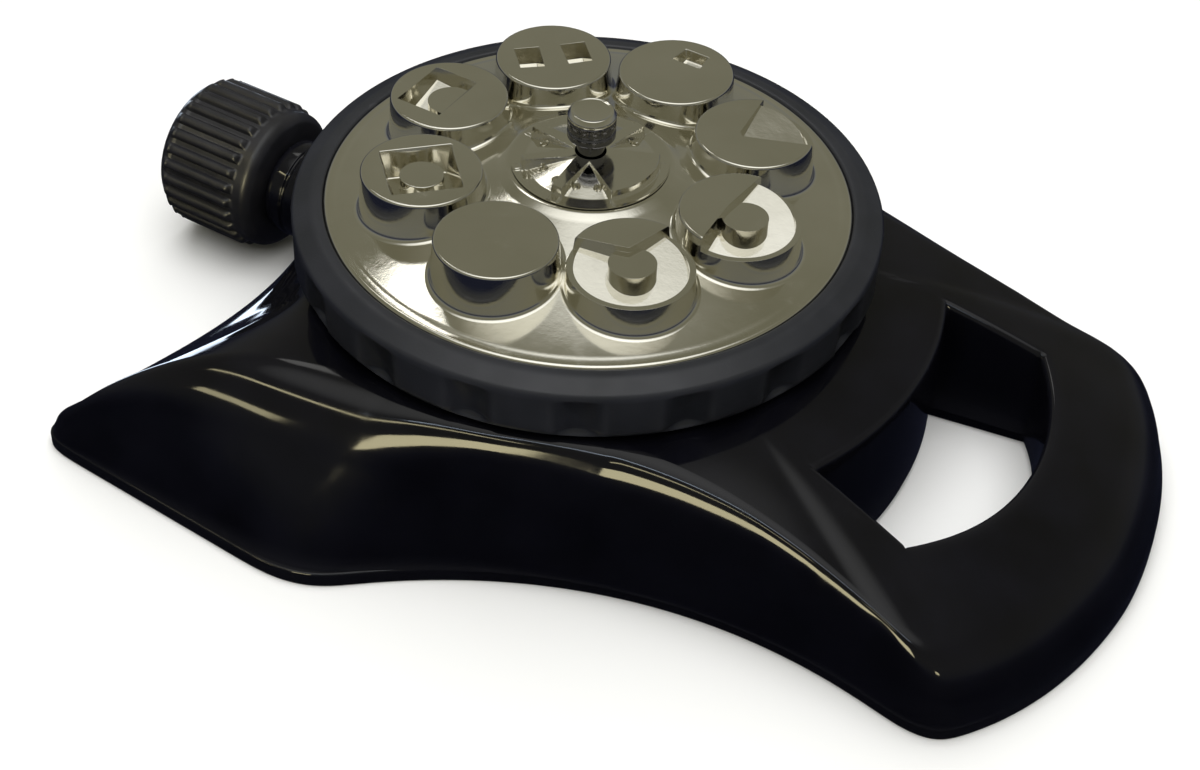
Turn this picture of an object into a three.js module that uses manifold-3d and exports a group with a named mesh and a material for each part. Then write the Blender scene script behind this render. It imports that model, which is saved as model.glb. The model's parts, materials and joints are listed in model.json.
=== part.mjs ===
// Multi-pattern turret sprinkler: a glossy moulded base with a carrying handle, a swivel hose
// coupling, and a turning dial whose eight nozzles are chosen by turning it over one water port.
// Millimetres, +Z up. The origin is on the ground under the dial's axis, +X points to the handle
// and -X to the hose.
import * as THREE from "three";
import { mergeVertices } from "three/addons/utils/BufferGeometryUtils.js";
import Module from "manifold-3d";

const wasm = await Module();
wasm.setup();

// ---- driving dimensions ----
const gap = 0.3; // clearance between pieces that meet
const wall = 2.6; // moulded wall of the base

// base, in plan: half of a shape that is mirrored about the XZ plane
const hoseEndX = -68; // lower edge of the hose end, on the centre line
const wingX = -89; // wing tip
const wingY = 92; // half width across the wings
const wingRearX = -13; // rear corner of a wing
const handleX = 135; // end of the handle, on the centre line
const handleCornerX = 115;
const handleCornerY = 57.5;
const platformZ = 37; // seat under the dial
const platformR = 60;
const handleTopZ = 16; // top edge of the handle at its end
const wingTopZ = 7.5; // top edge at a wing tip
const edgeRound = 4; // rounding of the top edge
const topCurve = 1.4; // how late the top surface falls away from the platform
const rampCurve = 0.75; // the same on the hose side, where it falls at once
const rampEdge = 1.6; // height of the shell's edge at the foot of the ramp
const inletFlankY = 10.5; // half width of the end wall that the inlet passes
const inletFlankWide = 9; // over which that wall falls to the ramp

// finger hole of the handle
const holeInnerR = 79.8;
const holeOuterX = 107.5;
const holeInnerY = 30.8;
const holeOuterCornerX = 95.6;
const holeOuterCornerY = 34;

// bottom cover and its screws
const coverThick = 3.6;
const coverInset = 0.7;
const coverScrewTop = 11;
const screwR = 1.4;
const screwHeadR = 3.1;
const screwHeadHigh = 1.7;
const bossWall = 2.4;

// hose inlet
const inletZ = 19;
const stemR = 11.5;
const stemNeckR = 9.2;
const stemShoulder = 1.8; // from the hose end of the base to the stem's shoulder
const stemBoreR = 5.2;
const spigotR = 6.5;
const collarR = 18;
const collarLong = 27;
const collarSocketR = 12.8;
const collarSocketDeep = 17;
const collarRibs = 28;
const collarRibDeep = 1;
const collarBandLong = 4; // plain band at the collar's inner end
const collarStandOff = 14.8; // from the hose end of the base to the collar
const retainerThick = 1.6;
const retainerGrooveDeep = 0.9;
const washerThick = 2.6;
const washerBoreR = 8;
const filterThick = 0.8;
const filterPitch = 3.6;
const filterHole = 2.3;
const filterReach = 2; // holes on each side of the middle one

// dial
const dialRimZ = 51.4;
const dialR = 57;
const dialSkirtThick = 2.4;
const dialPlateThick = 2.2;
const buttonCount = 8;
const buttonRingR = 36.3;
const buttonR = 12.9;
const buttonTopZ = 62.6;
const buttonDraft = 0.7;
const buttonChamfer = 0.5;
const pocketDeep = 5;
const domeTopZ = 59.6;
const hubTopR = 17;
const gripR = 64;
const gripLowZ = 38.1;
const gripCreaseDrop = 1.6;
const gripScallops = 18;
const gripScallopDeep = 1.5;

// valve plate, gasket and seal under the dial
const valvePlateThick = 4;
const valvePlateLift = 3.2; // from the platform to the valve plate
const valvePlateLowZ = platformZ + valvePlateLift;
const gasketThick = 1;
const plateScrewR = 47;
const bushR = 6;
const sealR = 6.6;
const sealLipR = 4.8; // of the face that presses on the valve plate
const sealLong = 8.9;
const springTurns = 6;
const wireR = 0.5;
const nozzleBoreR = 3;
const nozzleTubeR = 7;
const nozzleChamberR = 5.5;
const jetR = 0.8;

// centre of the dial
const boltR = 3;
const roseR = 17;
const roseThick = 1.6;
const roseHigh = 1.6;
const roseNotches = 8;
const roseNotchHalf = 3.6;
const roseNotchFloor = 0.9;
const roseHoleSide = 1.7;
const boltHeadR = 5.2;
const boltHeadLowZ = 66.4;
const capTopZ = 73.3;
const capThick = 1.7;

// water box under the platform
const drumR = 17;
const towerR = 9;
const towerRise = 1.8; // of the pivot tower above the platform
const chamberWall = 2;
const ductWide = 9;
const ductHigh = 7;
const ductFloor = 3;
const boxScrewR = 25;
const earThick = 3;
const earR = 4.6;
const boltLowZ = 15;
const spigotEndX = 38; // inner end of the stem's spigot, towards the hose
const socketMouthX = 48.2; // mouth of the socket round it
const sealingRingX = 49.2;
const cordR = 0.7; // half thickness of the O-ring

// detent leaf
const ribR = 0.9;
const ribLong = 2;
const detentR = buttonRingR + sealLipR + gap + ribLong / 2; // the ribs pass outside the seal
const detentScrewR = 28;
const leafThick = 0.9;
const leafWide = 7;
const noseR = 1.5;

// ---- levels ----
const ceilingZ = platformZ - wall;
const coverTopZ = coverThick;
const shellLowZ = coverTopZ + gap;
const boxLowZ = coverTopZ + gap;
const boxHighZ = ceilingZ - gap;
const earHighZ = ceilingZ - 3;

// ---- geometry helpers ----
const tau = Math.PI * 2;
const deg = THREE.MathUtils.degToRad;

// a closed, outward-facing, indexed geometry that holds only positions
function closed(geometry) {
  const bare = geometry.clone();
  for (const name of Object.keys(bare.attributes)) {
    if (name !== "position") bare.deleteAttribute(name);
  }
  const merged = mergeVertices(bare, 1e-4);
  const at = merged.attributes.position;
  const index = merged.index.array;
  const kept = [];
  let volume = 0;
  const a = new THREE.Vector3();
  const b = new THREE.Vector3();
  const c = new THREE.Vector3();
  for (let i = 0; i < index.length; i += 3) {
    const [p, q, r] = [index[i], index[i + 1], index[i + 2]];
    if (p === q || q === r || r === p) continue;
    kept.push(p, q, r);
    a.fromBufferAttribute(at, p);
    b.fromBufferAttribute(at, q);
    c.fromBufferAttribute(at, r);
    volume += a.dot(b.cross(c));
  }
  if (volume < 0) kept.reverse();
  const result = new THREE.BufferGeometry();
  result.setAttribute("position", at.clone());
  result.setIndex(kept);
  return result;
}

function solid(geometry) {
  const shape = closed(geometry);
  return new wasm.Manifold(new wasm.Mesh({
    numProp: 3,
    vertProperties: new Float32Array(shape.attributes.position.array),
    triVerts: new Uint32Array(shape.index.array),
  }));
}

function geometryOf(manifold) {
  const mesh = manifold.getMesh();
  const result = new THREE.BufferGeometry();
  result.setAttribute("position", new THREE.BufferAttribute(mesh.vertProperties, mesh.numProp));
  result.setIndex(new THREE.BufferAttribute(mesh.triVerts, 1));
  result.computeVertexNormals();
  return result;
}

// profile points are [radius, height] and turn about the Z axis
function turned(profile, segments = 36) {
  const points = profile.map(([r, z]) => new THREE.Vector2(r, z));
  return new THREE.LatheGeometry(points, segments).rotateX(Math.PI / 2);
}

function ring(outerR, innerR, lowZ, highZ, segments = 28) {
  const profile = [[innerR, lowZ], [outerR, lowZ], [outerR, highZ], [innerR, highZ], [innerR, lowZ]];
  return turned(profile, segments);
}

function rod(radius, lowZ, highZ, segments = 24) {
  return new THREE.CylinderGeometry(radius, radius, highZ - lowZ, segments)
    .rotateX(Math.PI / 2)
    .translate(0, 0, (lowZ + highZ) / 2);
}

// turns a shape made about +Z so that its axis lies along -X at the height of the hose inlet
function alongInlet(geometry) {
  return geometry.rotateY(-Math.PI / 2).translate(0, 0, inletZ);
}

function prism(points, lowZ, highZ) {
  const shape = new THREE.Shape(points.map(([x, y]) => new THREE.Vector2(x, y)));
  return new THREE.ExtrudeGeometry(shape, { depth: highZ - lowZ, bevelEnabled: false, curveSegments: 8 })
    .translate(0, 0, lowZ);
}

function polar(radius, angle) {
  return [radius * Math.cos(angle), radius * Math.sin(angle)];
}

// a solid through a stack of rings, each a list of the same number of points, closed by fans
function loft(rings) {
  const count = rings[0].length;
  const positions = rings.flat(2);
  const index = [];
  for (let k = 0; k + 1 < rings.length; k += 1) {
    for (let i = 0; i < count; i += 1) {
      const j = (i + 1) % count;
      const [a, b, c, d] = [k * count + i, k * count + j, (k + 1) * count + i, (k + 1) * count + j];
      index.push(a, c, b, b, c, d);
    }
  }
  for (const k of [0, rings.length - 1]) {
    const centre = positions.length / 3;
    positions.push(0, 0, rings[k][0][2]);
    for (let i = 0; i < count; i += 1) {
      const [a, b] = [k * count + i, k * count + (i + 1) % count];
      if (k === 0) index.push(centre, a, b);
      else index.push(centre, b, a);
    }
  }
  const result = new THREE.BufferGeometry();
  result.setAttribute("position", new THREE.Float32BufferAttribute(positions, 3));
  result.setIndex(index);
  return result;
}

// ---- base outlines ----
// Each outline is a chain of curves over the half plan, from the hose end round a wing and the
// waist to the handle's end. The foot outline is the lower edge and the brow outline the top edge.
const v = (x, y, z) => new THREE.Vector3(x, y, z);
const chainSteps = [2, 3, 4, 3, 4, 3, 9, 3, 5];

function chain(curves) {
  const points = [];
  curves.forEach((curve, k) => {
    const along = curve.getPoints(chainSteps[k]);
    if (k > 0) along.shift();
    points.push(...along);
  });
  const mirrored = points.slice(1, -1).reverse().map((p) => v(p.x, -p.y, p.z));
  return [...points, ...mirrored];
}

function footOutline() {
  const hose = v(hoseEndX, 0, 0);
  const tipBefore = v(wingX + 3.8, wingY - 14, 0);
  const tip = v(wingX, wingY - 4, 0);
  const tipAfter = v(wingX + 11, wingY - 3.8, 0);
  const rearBefore = v(wingRearX - 11, wingY - 0.5, 0);
  const rear = v(wingRearX, wingY, 0);
  const rearAfter = v(wingRearX + 7, wingY - 6, 0);
  const cornerBefore = v(handleCornerX - 12, handleCornerY - 3, 0);
  const corner = v(handleCornerX, handleCornerY, 0);
  const cornerAfter = v(handleCornerX + 4, handleCornerY - 6, 0);
  const end = v(handleX, 0, 0);
  const flank = v(hoseEndX - 2.4, inletFlankY, 0);
  const rampStart = v(hoseEndX - 4.4, inletFlankY + inletFlankWide, 0);
  return chain([
    new THREE.LineCurve3(hose, flank),
    new THREE.LineCurve3(flank, rampStart),
    new THREE.QuadraticBezierCurve3(rampStart, v(hoseEndX - 9.5, wingY * 0.5, 0), tipBefore),
    new THREE.QuadraticBezierCurve3(tipBefore, tip, tipAfter),
    new THREE.LineCurve3(tipAfter, rearBefore),
    new THREE.QuadraticBezierCurve3(rearBefore, rear, rearAfter),
    new THREE.CubicBezierCurve3(
      rearAfter,
      v(wingRearX + 33, wingY - 30, 0),
      v(handleCornerX - 57, handleCornerY - 12.5, 0),
      cornerBefore,
    ),
    new THREE.QuadraticBezierCurve3(cornerBefore, corner, cornerAfter),
    new THREE.QuadraticBezierCurve3(cornerAfter, v(handleX - 1, handleCornerY * 0.56, 0), end),
  ]);
}

function browOutline() {
  const hose = v(hoseEndX + 2.5, 0, platformZ - 4);
  const tipBefore = v(wingX + 7, wingY - 17, wingTopZ - 1);
  const tip = v(wingX + 3, wingY - 6.5, wingTopZ - 1);
  const tipAfter = v(wingX + 10, wingY - 7, wingTopZ + 4.5);
  const rearBefore = v(wingRearX - 21, wingY - 18, platformZ - 0.4);
  const rear = v(wingRearX - 9, wingY - 20, platformZ);
  const rearAfter = v(wingRearX + 3, wingY - 21, platformZ - 0.1);
  const cornerBefore = v(handleCornerX - 13, handleCornerY - 4.5, handleTopZ + 6);
  const corner = v(handleCornerX - 2, handleCornerY - 1, handleTopZ + 3);
  const cornerAfter = v(handleCornerX + 1.5, handleCornerY - 7.5, handleTopZ + 2);
  const end = v(handleX - 3.5, 0, handleTopZ);
  const flank = v(hose.x - 1.5, inletFlankY, hose.z - 1);
  const rampStart = v(hose.x - 5, inletFlankY + inletFlankWide, shellLowZ + rampEdge);
  return chain([
    new THREE.LineCurve3(hose, flank),
    new THREE.CubicBezierCurve3(
      flank,
      v(flank.x - 0.8, flank.y + 3.5, flank.z),
      v(rampStart.x + 0.8, rampStart.y - 3.5, rampStart.z),
      rampStart,
    ),
    new THREE.QuadraticBezierCurve3(rampStart, v(hose.x - 10, wingY * 0.5, rampStart.z), tipBefore),
    new THREE.QuadraticBezierCurve3(tipBefore, tip, tipAfter),
    new THREE.CubicBezierCurve3(
      tipAfter,
      v(wingX + 23, wingY - 10, platformZ - 10),
      v(wingX + 37, wingY - 14.5, platformZ - 1),
      rearBefore,
    ),
    new THREE.QuadraticBezierCurve3(rearBefore, rear, rearAfter),
    new THREE.CubicBezierCurve3(
      rearAfter,
      v(wingRearX + 31, wingY - 27, platformZ + 0.5),
      v(handleCornerX - 55, handleCornerY - 9.5, platformZ + 2),
      cornerBefore,
    ),
    new THREE.QuadraticBezierCurve3(cornerBefore, corner, cornerAfter),
    new THREE.QuadraticBezierCurve3(
      cornerAfter,
      v(handleX - 6, handleCornerY * 0.6, handleTopZ + 0.5),
      end,
    ),
  ]);
}

const foot = footOutline();
const brow = browOutline();

// each point of an outline moved inwards, square to the foot outline
function inset(outline, distance) {
  const count = foot.length;
  return outline.map((p, i) => {
    const before = foot[(i + count - 1) % count];
    const after = foot[(i + 1) % count];
    const along = after.clone().sub(before).normalize();
    return v(p.x + along.y * distance, p.y - along.x * distance, p.z);
  });
}

// how the top falls at a bearing from the dial's axis: as a ramp between the wings, domed elsewhere
function fallAt(angle) {
  const fromHose = Math.PI - Math.abs(angle);
  const blend = THREE.MathUtils.smoothstep(fromHose, deg(40), deg(68));
  return rampCurve + (topCurve - rampCurve) * blend;
}

// rings from the platform over the rounded brow to the foot, shrunk by a wall for the inside
function baseRings(thickness, lowZ) {
  const outerBrow = inset(brow, thickness);
  const outerFoot = inset(foot, thickness);
  const seatZ = platformZ - thickness;
  const seatR = platformR - thickness;
  const onTop = (i, t) => {
    const edge = outerBrow[i];
    const angle = Math.atan2(edge.y, edge.x);
    const [x, y] = polar(seatR, angle);
    const edgeZ = Math.max(edge.z - thickness, lowZ + 1);
    return v(
      x + (edge.x - x) * t,
      y + (edge.y - y) * t,
      seatZ + (edgeZ - seatZ) * t ** fallAt(angle),
    );
  };
  const station = (i) => {
    const edge = onTop(i, 1);
    const low = v(outerFoot[i].x, outerFoot[i].y, 0);
    const top = onTop(i, 0);
    const round = Math.min(edgeRound, edge.distanceTo(top) * 0.4, edge.distanceTo(low) * 0.4);
    const before = onTop(i, 1 - round / edge.distanceTo(top));
    const after = edge.clone().lerp(low, round / edge.distanceTo(low));
    const turn = before.clone().add(after).multiplyScalar(0.25).addScaledVector(edge, 0.5);
    const lowest = edge.clone().lerp(low, (edge.z - lowZ) / edge.z);
    return [top, onTop(i, 0.35), onTop(i, 0.65), before, turn, after, lowest];
  };
  const stations = foot.map((_, i) => station(i));
  return stations[0].map((_, k) => stations.map((s) => s[k].toArray()));
}

// ---- finger hole ----
function holeOutline(grow) {
  const innerAngle = Math.asin(holeInnerY / holeInnerR);
  const half = holeOuterCornerY;
  const rise = holeOuterX - holeOuterCornerX;
  const arcR = (half * half + rise * rise) / (2 * rise);
  const arcX = holeOuterX - arcR;
  const arcAngle = Math.asin(half / arcR);
  const points = [];
  const steps = 10;
  for (let i = 0; i <= steps; i += 1) {
    const angle = innerAngle * (1 - (2 * i) / steps) * (1 + grow / holeInnerY);
    points.push(polar(holeInnerR - grow, angle));
  }
  for (let i = 0; i <= steps; i += 1) {
    const angle = arcAngle * ((2 * i) / steps - 1) * (1 + grow / half);
    const [x, y] = polar(arcR + grow, angle);
    points.push([arcX + x, y]);
  }
  return points;
}

// ---- where the fasteners go ----
const coverScrewPlaces = [
  [wingX + 26, wingY - 24],
  [wingRearX + 2, wingY - 26],
  [handleCornerX - 10, handleCornerY - 14],
].flatMap(([x, y]) => [[x, y], [x, -y]]);
const boxScrewPlaces = [60, 120, 240, 300].map((a) => polar(boxScrewR, deg(a)));
const portPlace = [buttonRingR, 0];
const detentAngle = Math.PI / 2;


// ---- materials ----
const paint = (color, roughness, metalness) => () => new THREE.MeshStandardMaterial({
  color, roughness, metalness,
});
const glossBlack = paint(0x0b0b10, 0.12, 0);
const coverBlack = paint(0x121216, 0.4, 0);
const satinBlack = paint(0x17171a, 0.5, 0);
const rubberGrey = paint(0x2b2c30, 0.75, 0);
const chrome = paint(0xb9b6a2, 0.12, 1);
const steel = paint(0xa9abad, 0.35, 1);
const sealRed = paint(0x7a1f1a, 0.8, 0);
const acetal = paint(0xe4e2da, 0.5, 0);
const innerGrey = paint(0x3a3b40, 0.55, 0);

const sprinkler = new THREE.Group();
function addPart(name, shape, material) {
  const geometry = shape instanceof wasm.Manifold ? geometryOf(shape) : closed(shape);
  const mesh = new THREE.Mesh(geometry, material());
  mesh.name = name;
  sprinkler.add(mesh);
  return mesh;
}

// ---- base shell and cover ----
function makeShell() {
  const outer = solid(loft(baseRings(0, shellLowZ)));
  let hollow = solid(loft(baseRings(wall, 0)));
  hollow = hollow.subtract(solid(prism(holeOutline(wall), -1, platformZ + 1)));
  const bossR = screwR + bossWall;
  const pilotR = screwR + gap;
  for (const [x, y] of coverScrewPlaces) {
    hollow = hollow.subtract(solid(rod(bossR, shellLowZ, platformZ, 10).translate(x, y, 0)));
  }
  for (const [x, y] of boxScrewPlaces) {
    hollow = hollow.subtract(solid(rod(bossR, earHighZ + gap, platformZ, 10).translate(x, y, 0)));
  }
  let shell = outer.subtract(hollow);
  shell = shell.subtract(solid(prism(holeOutline(0), -1, platformZ + 1)));
  for (const [x, y] of coverScrewPlaces) {
    shell = shell.subtract(solid(rod(pilotR, 0, coverScrewTop + gap, 8).translate(x, y, 0)));
  }
  for (const [x, y] of boxScrewPlaces) {
    shell = shell.subtract(solid(rod(pilotR, 0, platformZ - 1, 8).translate(x, y, 0)));
  }
  const towerHole = () => rod(towerR + gap, 0, platformZ + 1);
  shell = shell.subtract(solid(towerHole()));
  shell = shell.subtract(solid(towerHole().translate(...portPlace, 0)));
  const [dx, dy] = polar(detentScrewR, detentAngle);
  shell = shell.subtract(solid(rod(pilotR, 0, platformZ + 1, 8).translate(dx, dy, 0)));
  const wallHole = rod(spigotR + gap, -hoseEndX - 12, -hoseEndX + 6);
  return shell.subtract(solid(alongInlet(wallHole)));
}

function makeCover() {
  const outline = inset(foot, coverInset);
  const ringAt = (z) => outline.map((p) => [p.x, p.y, z]);
  let cover = solid(loft([ringAt(coverTopZ), ringAt(0)]));
  cover = cover.subtract(solid(prism(holeOutline(coverInset), -1, coverTopZ + 1)));
  for (const [x, y] of coverScrewPlaces) {
    const hole = rod(screwR + gap, -1, coverTopZ + 1, 8);
    const sink = rod(screwHeadR + gap, -1, screwHeadHigh + 2 * gap, 12);
    cover = cover.subtract(solid(hole.translate(x, y, 0)));
    cover = cover.subtract(solid(sink.translate(x, y, 0)));
  }
  return cover;
}

// a pan-head screw that points up, its head's underside at headZ
function screw(headZ, topZ) {
  return turned([
    [0, headZ - screwHeadHigh],
    [screwHeadR - 0.6, headZ - screwHeadHigh],
    [screwHeadR, headZ - screwHeadHigh + 0.6],
    [screwHeadR, headZ],
    [screwR, headZ],
    [screwR, topZ - 1],
    [0, topZ],
  ], 10);
}

addPart("base_top_shell", makeShell(), glossBlack);
addPart("base_bottom_cover", makeCover(), coverBlack);
coverScrewPlaces.forEach(([x, y], i) => {
  const headZ = screwHeadHigh + gap;
  addPart(`cover_screw_${i + 1}`, screw(headZ, coverScrewTop).translate(x, y, 0), steel);
});

// ---- hose inlet ----
const collarInnerX = -hoseEndX + collarStandOff; // measured towards the hose
const collarOuterX = collarInnerX + collarLong;
const socketFloorX = collarOuterX - collarSocketDeep;
const retainerX = socketFloorX + gap;
const retainerHighX = retainerX + retainerThick;
const stemEndX = retainerHighX + 1.6;
const grooveR = stemNeckR - retainerGrooveDeep;

function makeStem() {
  const shoulderX = -hoseEndX + stemShoulder;
  const profile = [
    [stemBoreR, spigotEndX],
    [spigotR, spigotEndX],
    [spigotR, shoulderX],
    [stemR, shoulderX],
    [stemR, collarInnerX - gap],
    [stemNeckR, collarInnerX - gap],
    [stemNeckR, retainerX - gap],
    [grooveR, retainerX - gap],
    [grooveR, retainerHighX + gap],
    [stemNeckR, retainerHighX + gap],
    [stemNeckR, stemEndX],
    [stemBoreR, stemEndX],
    [stemBoreR, spigotEndX],
  ];
  return alongInlet(turned(profile, 28));
}

function makeCollar() {
  const bodyR = collarR - collarRibDeep;
  let collar = solid(turned([
    [stemNeckR + gap, collarInnerX],
    [bodyR - 1.5, collarInnerX],
    [bodyR, collarInnerX + 1.5],
    [bodyR, collarOuterX - 2.5],
    [bodyR - 2.5, collarOuterX],
    [collarSocketR, collarOuterX],
    [collarSocketR, socketFloorX],
    [stemNeckR + gap, socketFloorX],
    [stemNeckR + gap, collarInnerX],
  ], 36));
  const ribLow = collarInnerX + collarBandLong;
  const ribHigh = collarOuterX - 1.2;
  const ribThick = 2 * collarRibDeep;
  for (let i = 0; i < collarRibs; i += 1) {
    const rib = new THREE.BoxGeometry(ribThick, 1.7, ribHigh - ribLow)
      .translate(collarR - ribThick / 2, 0, (ribLow + ribHigh) / 2)
      .rotateZ((tau * i) / collarRibs);
    collar = collar.add(solid(rib));
  }
  return geometryOf(collar);
}

function makeFilter() {
  const lowX = stemEndX + gap + washerThick + gap;
  let disc = solid(rod(collarSocketR - gap, lowX, lowX + filterThick, 28));
  for (let i = -filterReach; i <= filterReach; i += 1) {
    for (let j = -filterReach; j <= filterReach; j += 1) {
      if (Math.abs(i) + Math.abs(j) === 2 * filterReach) continue;
      const hole = new THREE.BoxGeometry(filterHole, filterHole, 4 * filterThick);
      disc = disc.subtract(solid(hole.translate(i * filterPitch, j * filterPitch, lowX)));
    }
  }
  return geometryOf(disc);
}

addPart("inlet_stem", makeStem(), glossBlack);
addPart("inlet_collar", alongInlet(makeCollar()), satinBlack);
addPart(
  "collar_retaining_ring",
  alongInlet(ring(stemNeckR + 2.2, grooveR + gap, retainerX, retainerHighX)),
  steel,
);
addPart(
  "hose_washer",
  alongInlet(ring(collarSocketR - gap, washerBoreR, stemEndX + gap, stemEndX + gap + washerThick)),
  rubberGrey,
);
addPart("filter_screen", alongInlet(makeFilter()), steel);

const cordRingR = spigotR + gap + cordR;
const cordSteps = 6;
const cordProfile = Array.from({ length: cordSteps + 1 }, (_, i) => {
  const [across, along] = polar(cordR, (tau * (i % cordSteps)) / cordSteps);
  return [cordRingR + across, sealingRingX + along];
});
addPart("inlet_o_ring", alongInlet(turned(cordProfile, 20)), rubberGrey);

// ---- water box: socket for the stem, chamber, pivot tower and port tower ----
const towerTopZ = platformZ + towerRise;
const socketOuterR = spigotR + gap + chamberWall - 0.6;
const ductLowZ = boxLowZ + ductFloor;
const ductHighZ = ductLowZ + ductHigh;
const inletWellX = 9.5; // where the inlet drops to the duct

function makeWaterBox() {
  const [px, py] = portPlace;
  const half = (boxLowZ + boxHighZ) / 2;
  const armDrop = 6;
  let box = solid(rod(drumR, boxLowZ, boxHighZ, 32));
  box = box.add(solid(rod(towerR, boxLowZ, boxHighZ).translate(px, py, 0)));
  const arm = new THREE.BoxGeometry(buttonRingR, 2 * towerR, boxHighZ - boxLowZ - armDrop);
  box = box.add(solid(arm.translate(buttonRingR / 2, 0, half - armDrop / 2)));
  box = box.add(solid(alongInlet(rod(socketOuterR, drumR - 7, socketMouthX))));
  for (const [x, y] of boxScrewPlaces) {
    const ear = rod(earR, earHighZ - earThick, earHighZ, 12);
    const web = new THREE.BoxGeometry(14, 5, earThick);
    box = box.add(solid(ear.translate(x, y, 0)));
    web.translate(boxScrewR - 8, 0, earHighZ - earThick / 2).rotateZ(Math.atan2(y, x));
    box = box.add(solid(web));
  }
  box = box.add(solid(rod(towerR, boxHighZ - 1, towerTopZ)));
  box = box.add(solid(rod(towerR, boxHighZ - 1, platformZ + 1).translate(px, py, 0)));
  for (const [x, y] of boxScrewPlaces) {
    const hole = rod(screwR + gap, earHighZ - earThick - 1, earHighZ + 1, 8);
    box = box.subtract(solid(hole.translate(x, y, 0)));
  }
  box = box.subtract(solid(alongInlet(rod(spigotR + gap, spigotEndX - 2, socketMouthX + 1))));
  box = box.subtract(solid(alongInlet(rod(stemBoreR, inletWellX - 1.5, spigotEndX - 1))));
  const duct = new THREE.BoxGeometry(buttonRingR + ductWide, ductWide, ductHigh);
  duct.translate((buttonRingR - ductWide) / 2, 0, (ductLowZ + ductHighZ) / 2);
  box = box.subtract(solid(duct));
  const well = new THREE.BoxGeometry(6, ductWide, inletZ - ductHighZ + 1);
  well.translate(-inletWellX, 0, (inletZ + ductHighZ - 1) / 2);
  box = box.subtract(solid(well));
  box = box.subtract(solid(rod(sealR + gap, ductHighZ - 0.5, platformZ + 2).translate(px, py, 0)));
  return box.subtract(solid(rod(boltR + gap, boltLowZ - gap, towerTopZ + 1, 20)));
}

addPart("water_box", makeWaterBox(), innerGrey);
boxScrewPlaces.forEach(([x, y], i) => {
  const shape = screw(earHighZ - earThick - gap, platformZ - 1 - gap).translate(x, y, 0);
  addPart(`box_screw_${i + 1}`, shape, steel);
});

// ---- port seal and its spring ----
const sealHighZ = valvePlateLowZ - gap;
const sealLowZ = sealHighZ - sealLong;
const springLowZ = ductHighZ - 0.5 + gap;

class Helix extends THREE.Curve {
  constructor(radius, lowZ, highZ, turns) {
    super();
    Object.assign(this, { radius, lowZ, highZ, turns });
  }

  getPoint(t, target = new THREE.Vector3()) {
    const angle = tau * this.turns * t;
    const height = this.lowZ + (this.highZ - this.lowZ) * t;
    return target.set(this.radius * Math.cos(angle), this.radius * Math.sin(angle), height);
  }
}

function makeSpring(radius, lowZ, highZ, turns) {
  const sides = 5;
  const corners = Array.from({ length: sides }, (_, i) => polar(wireR, (tau * i) / sides));
  const section = new THREE.Shape(corners.map(([x, y]) => new THREE.Vector2(x, y)));
  const path = new Helix(radius, lowZ + wireR, highZ - wireR, turns);
  return new THREE.ExtrudeGeometry(section, {
    steps: turns * 9,
    extrudePath: path,
  });
}

const sealBoreR = nozzleBoreR - 0.4;
const portSeal = turned([
  [sealBoreR, sealHighZ - 1.4],
  [nozzleBoreR, sealHighZ],
  [sealLipR, sealHighZ],
  [sealLipR, sealHighZ - 3],
  [sealR, sealHighZ - 3 - (sealR - sealLipR)],
  [sealR, sealLowZ],
  [sealR - 1.5, sealLowZ],
  [sealR - 1.5, sealLowZ + 3],
  [sealBoreR, sealLowZ + 4],
  [sealBoreR, sealHighZ - 1.4],
], 20);
addPart("port_seal", portSeal.translate(...portPlace, 0), sealRed);
const spring = makeSpring(sealR - 1, springLowZ, sealLowZ - gap, springTurns);
addPart("port_spring", spring.translate(...portPlace, 0), steel);

// ---- detent leaf that clicks on the dial's ribs ----
const leafLowZ = platformZ + gap;
const leafTail = 4;

function makeLeaf() {
  const noseHigh = valvePlateLowZ - gap - leafLowZ;
  const length = detentR - detentScrewR + 2 * leafTail;
  const strip = new THREE.BoxGeometry(length, leafWide, leafThick);
  strip.translate((detentR + detentScrewR) / 2, 0, leafLowZ + leafThick / 2);
  const nose = new THREE.SphereGeometry(noseR, 12, 8).scale(1, 1, noseHigh / noseR);
  const below = new THREE.BoxGeometry(6, 6, 6).translate(detentR, 0, leafLowZ - 3);
  const bump = solid(nose.translate(detentR, 0, leafLowZ)).subtract(solid(below));
  const hole = rod(screwR + gap, 0, platformZ + 4, 8).translate(detentScrewR, 0, 0);
  const leaf = solid(strip).add(bump).subtract(solid(hole));
  return geometryOf(leaf).rotateZ(detentAngle);
}

addPart("detent_leaf", makeLeaf(), acetal);
const leafScrew = screw(0, 8).rotateX(Math.PI)
  .translate(detentScrewR, 0, leafLowZ + leafThick + gap)
  .rotateZ(detentAngle);
addPart("detent_screw", leafScrew, steel);

// ---- dial ----
const valvePlateTopZ = valvePlateLowZ + valvePlateThick;
const gasketLowZ = valvePlateTopZ + gap;
const tubeLowZ = gasketLowZ + gasketThick + gap;
const skirtInnerR = dialR - dialSkirtThick;
const buttonAngles = Array.from({ length: buttonCount }, (_, i) => (tau * i) / buttonCount);

// outer surface of the dial, which climbs from the rim to the raised hub
function domeZ(radius) {
  const t = Math.min(1, Math.max(0, (dialR - radius) / (dialR - hubTopR)));
  return dialRimZ + (domeTopZ - dialRimZ) * t ** 1.25;
}

function domeProfile(drop) {
  const steps = 2;
  return Array.from({ length: steps + 1 }, (_, i) => {
    const radius = dialR + ((hubTopR - dialR) * i) / steps;
    return [radius, domeZ(radius) - drop];
  });
}

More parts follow.
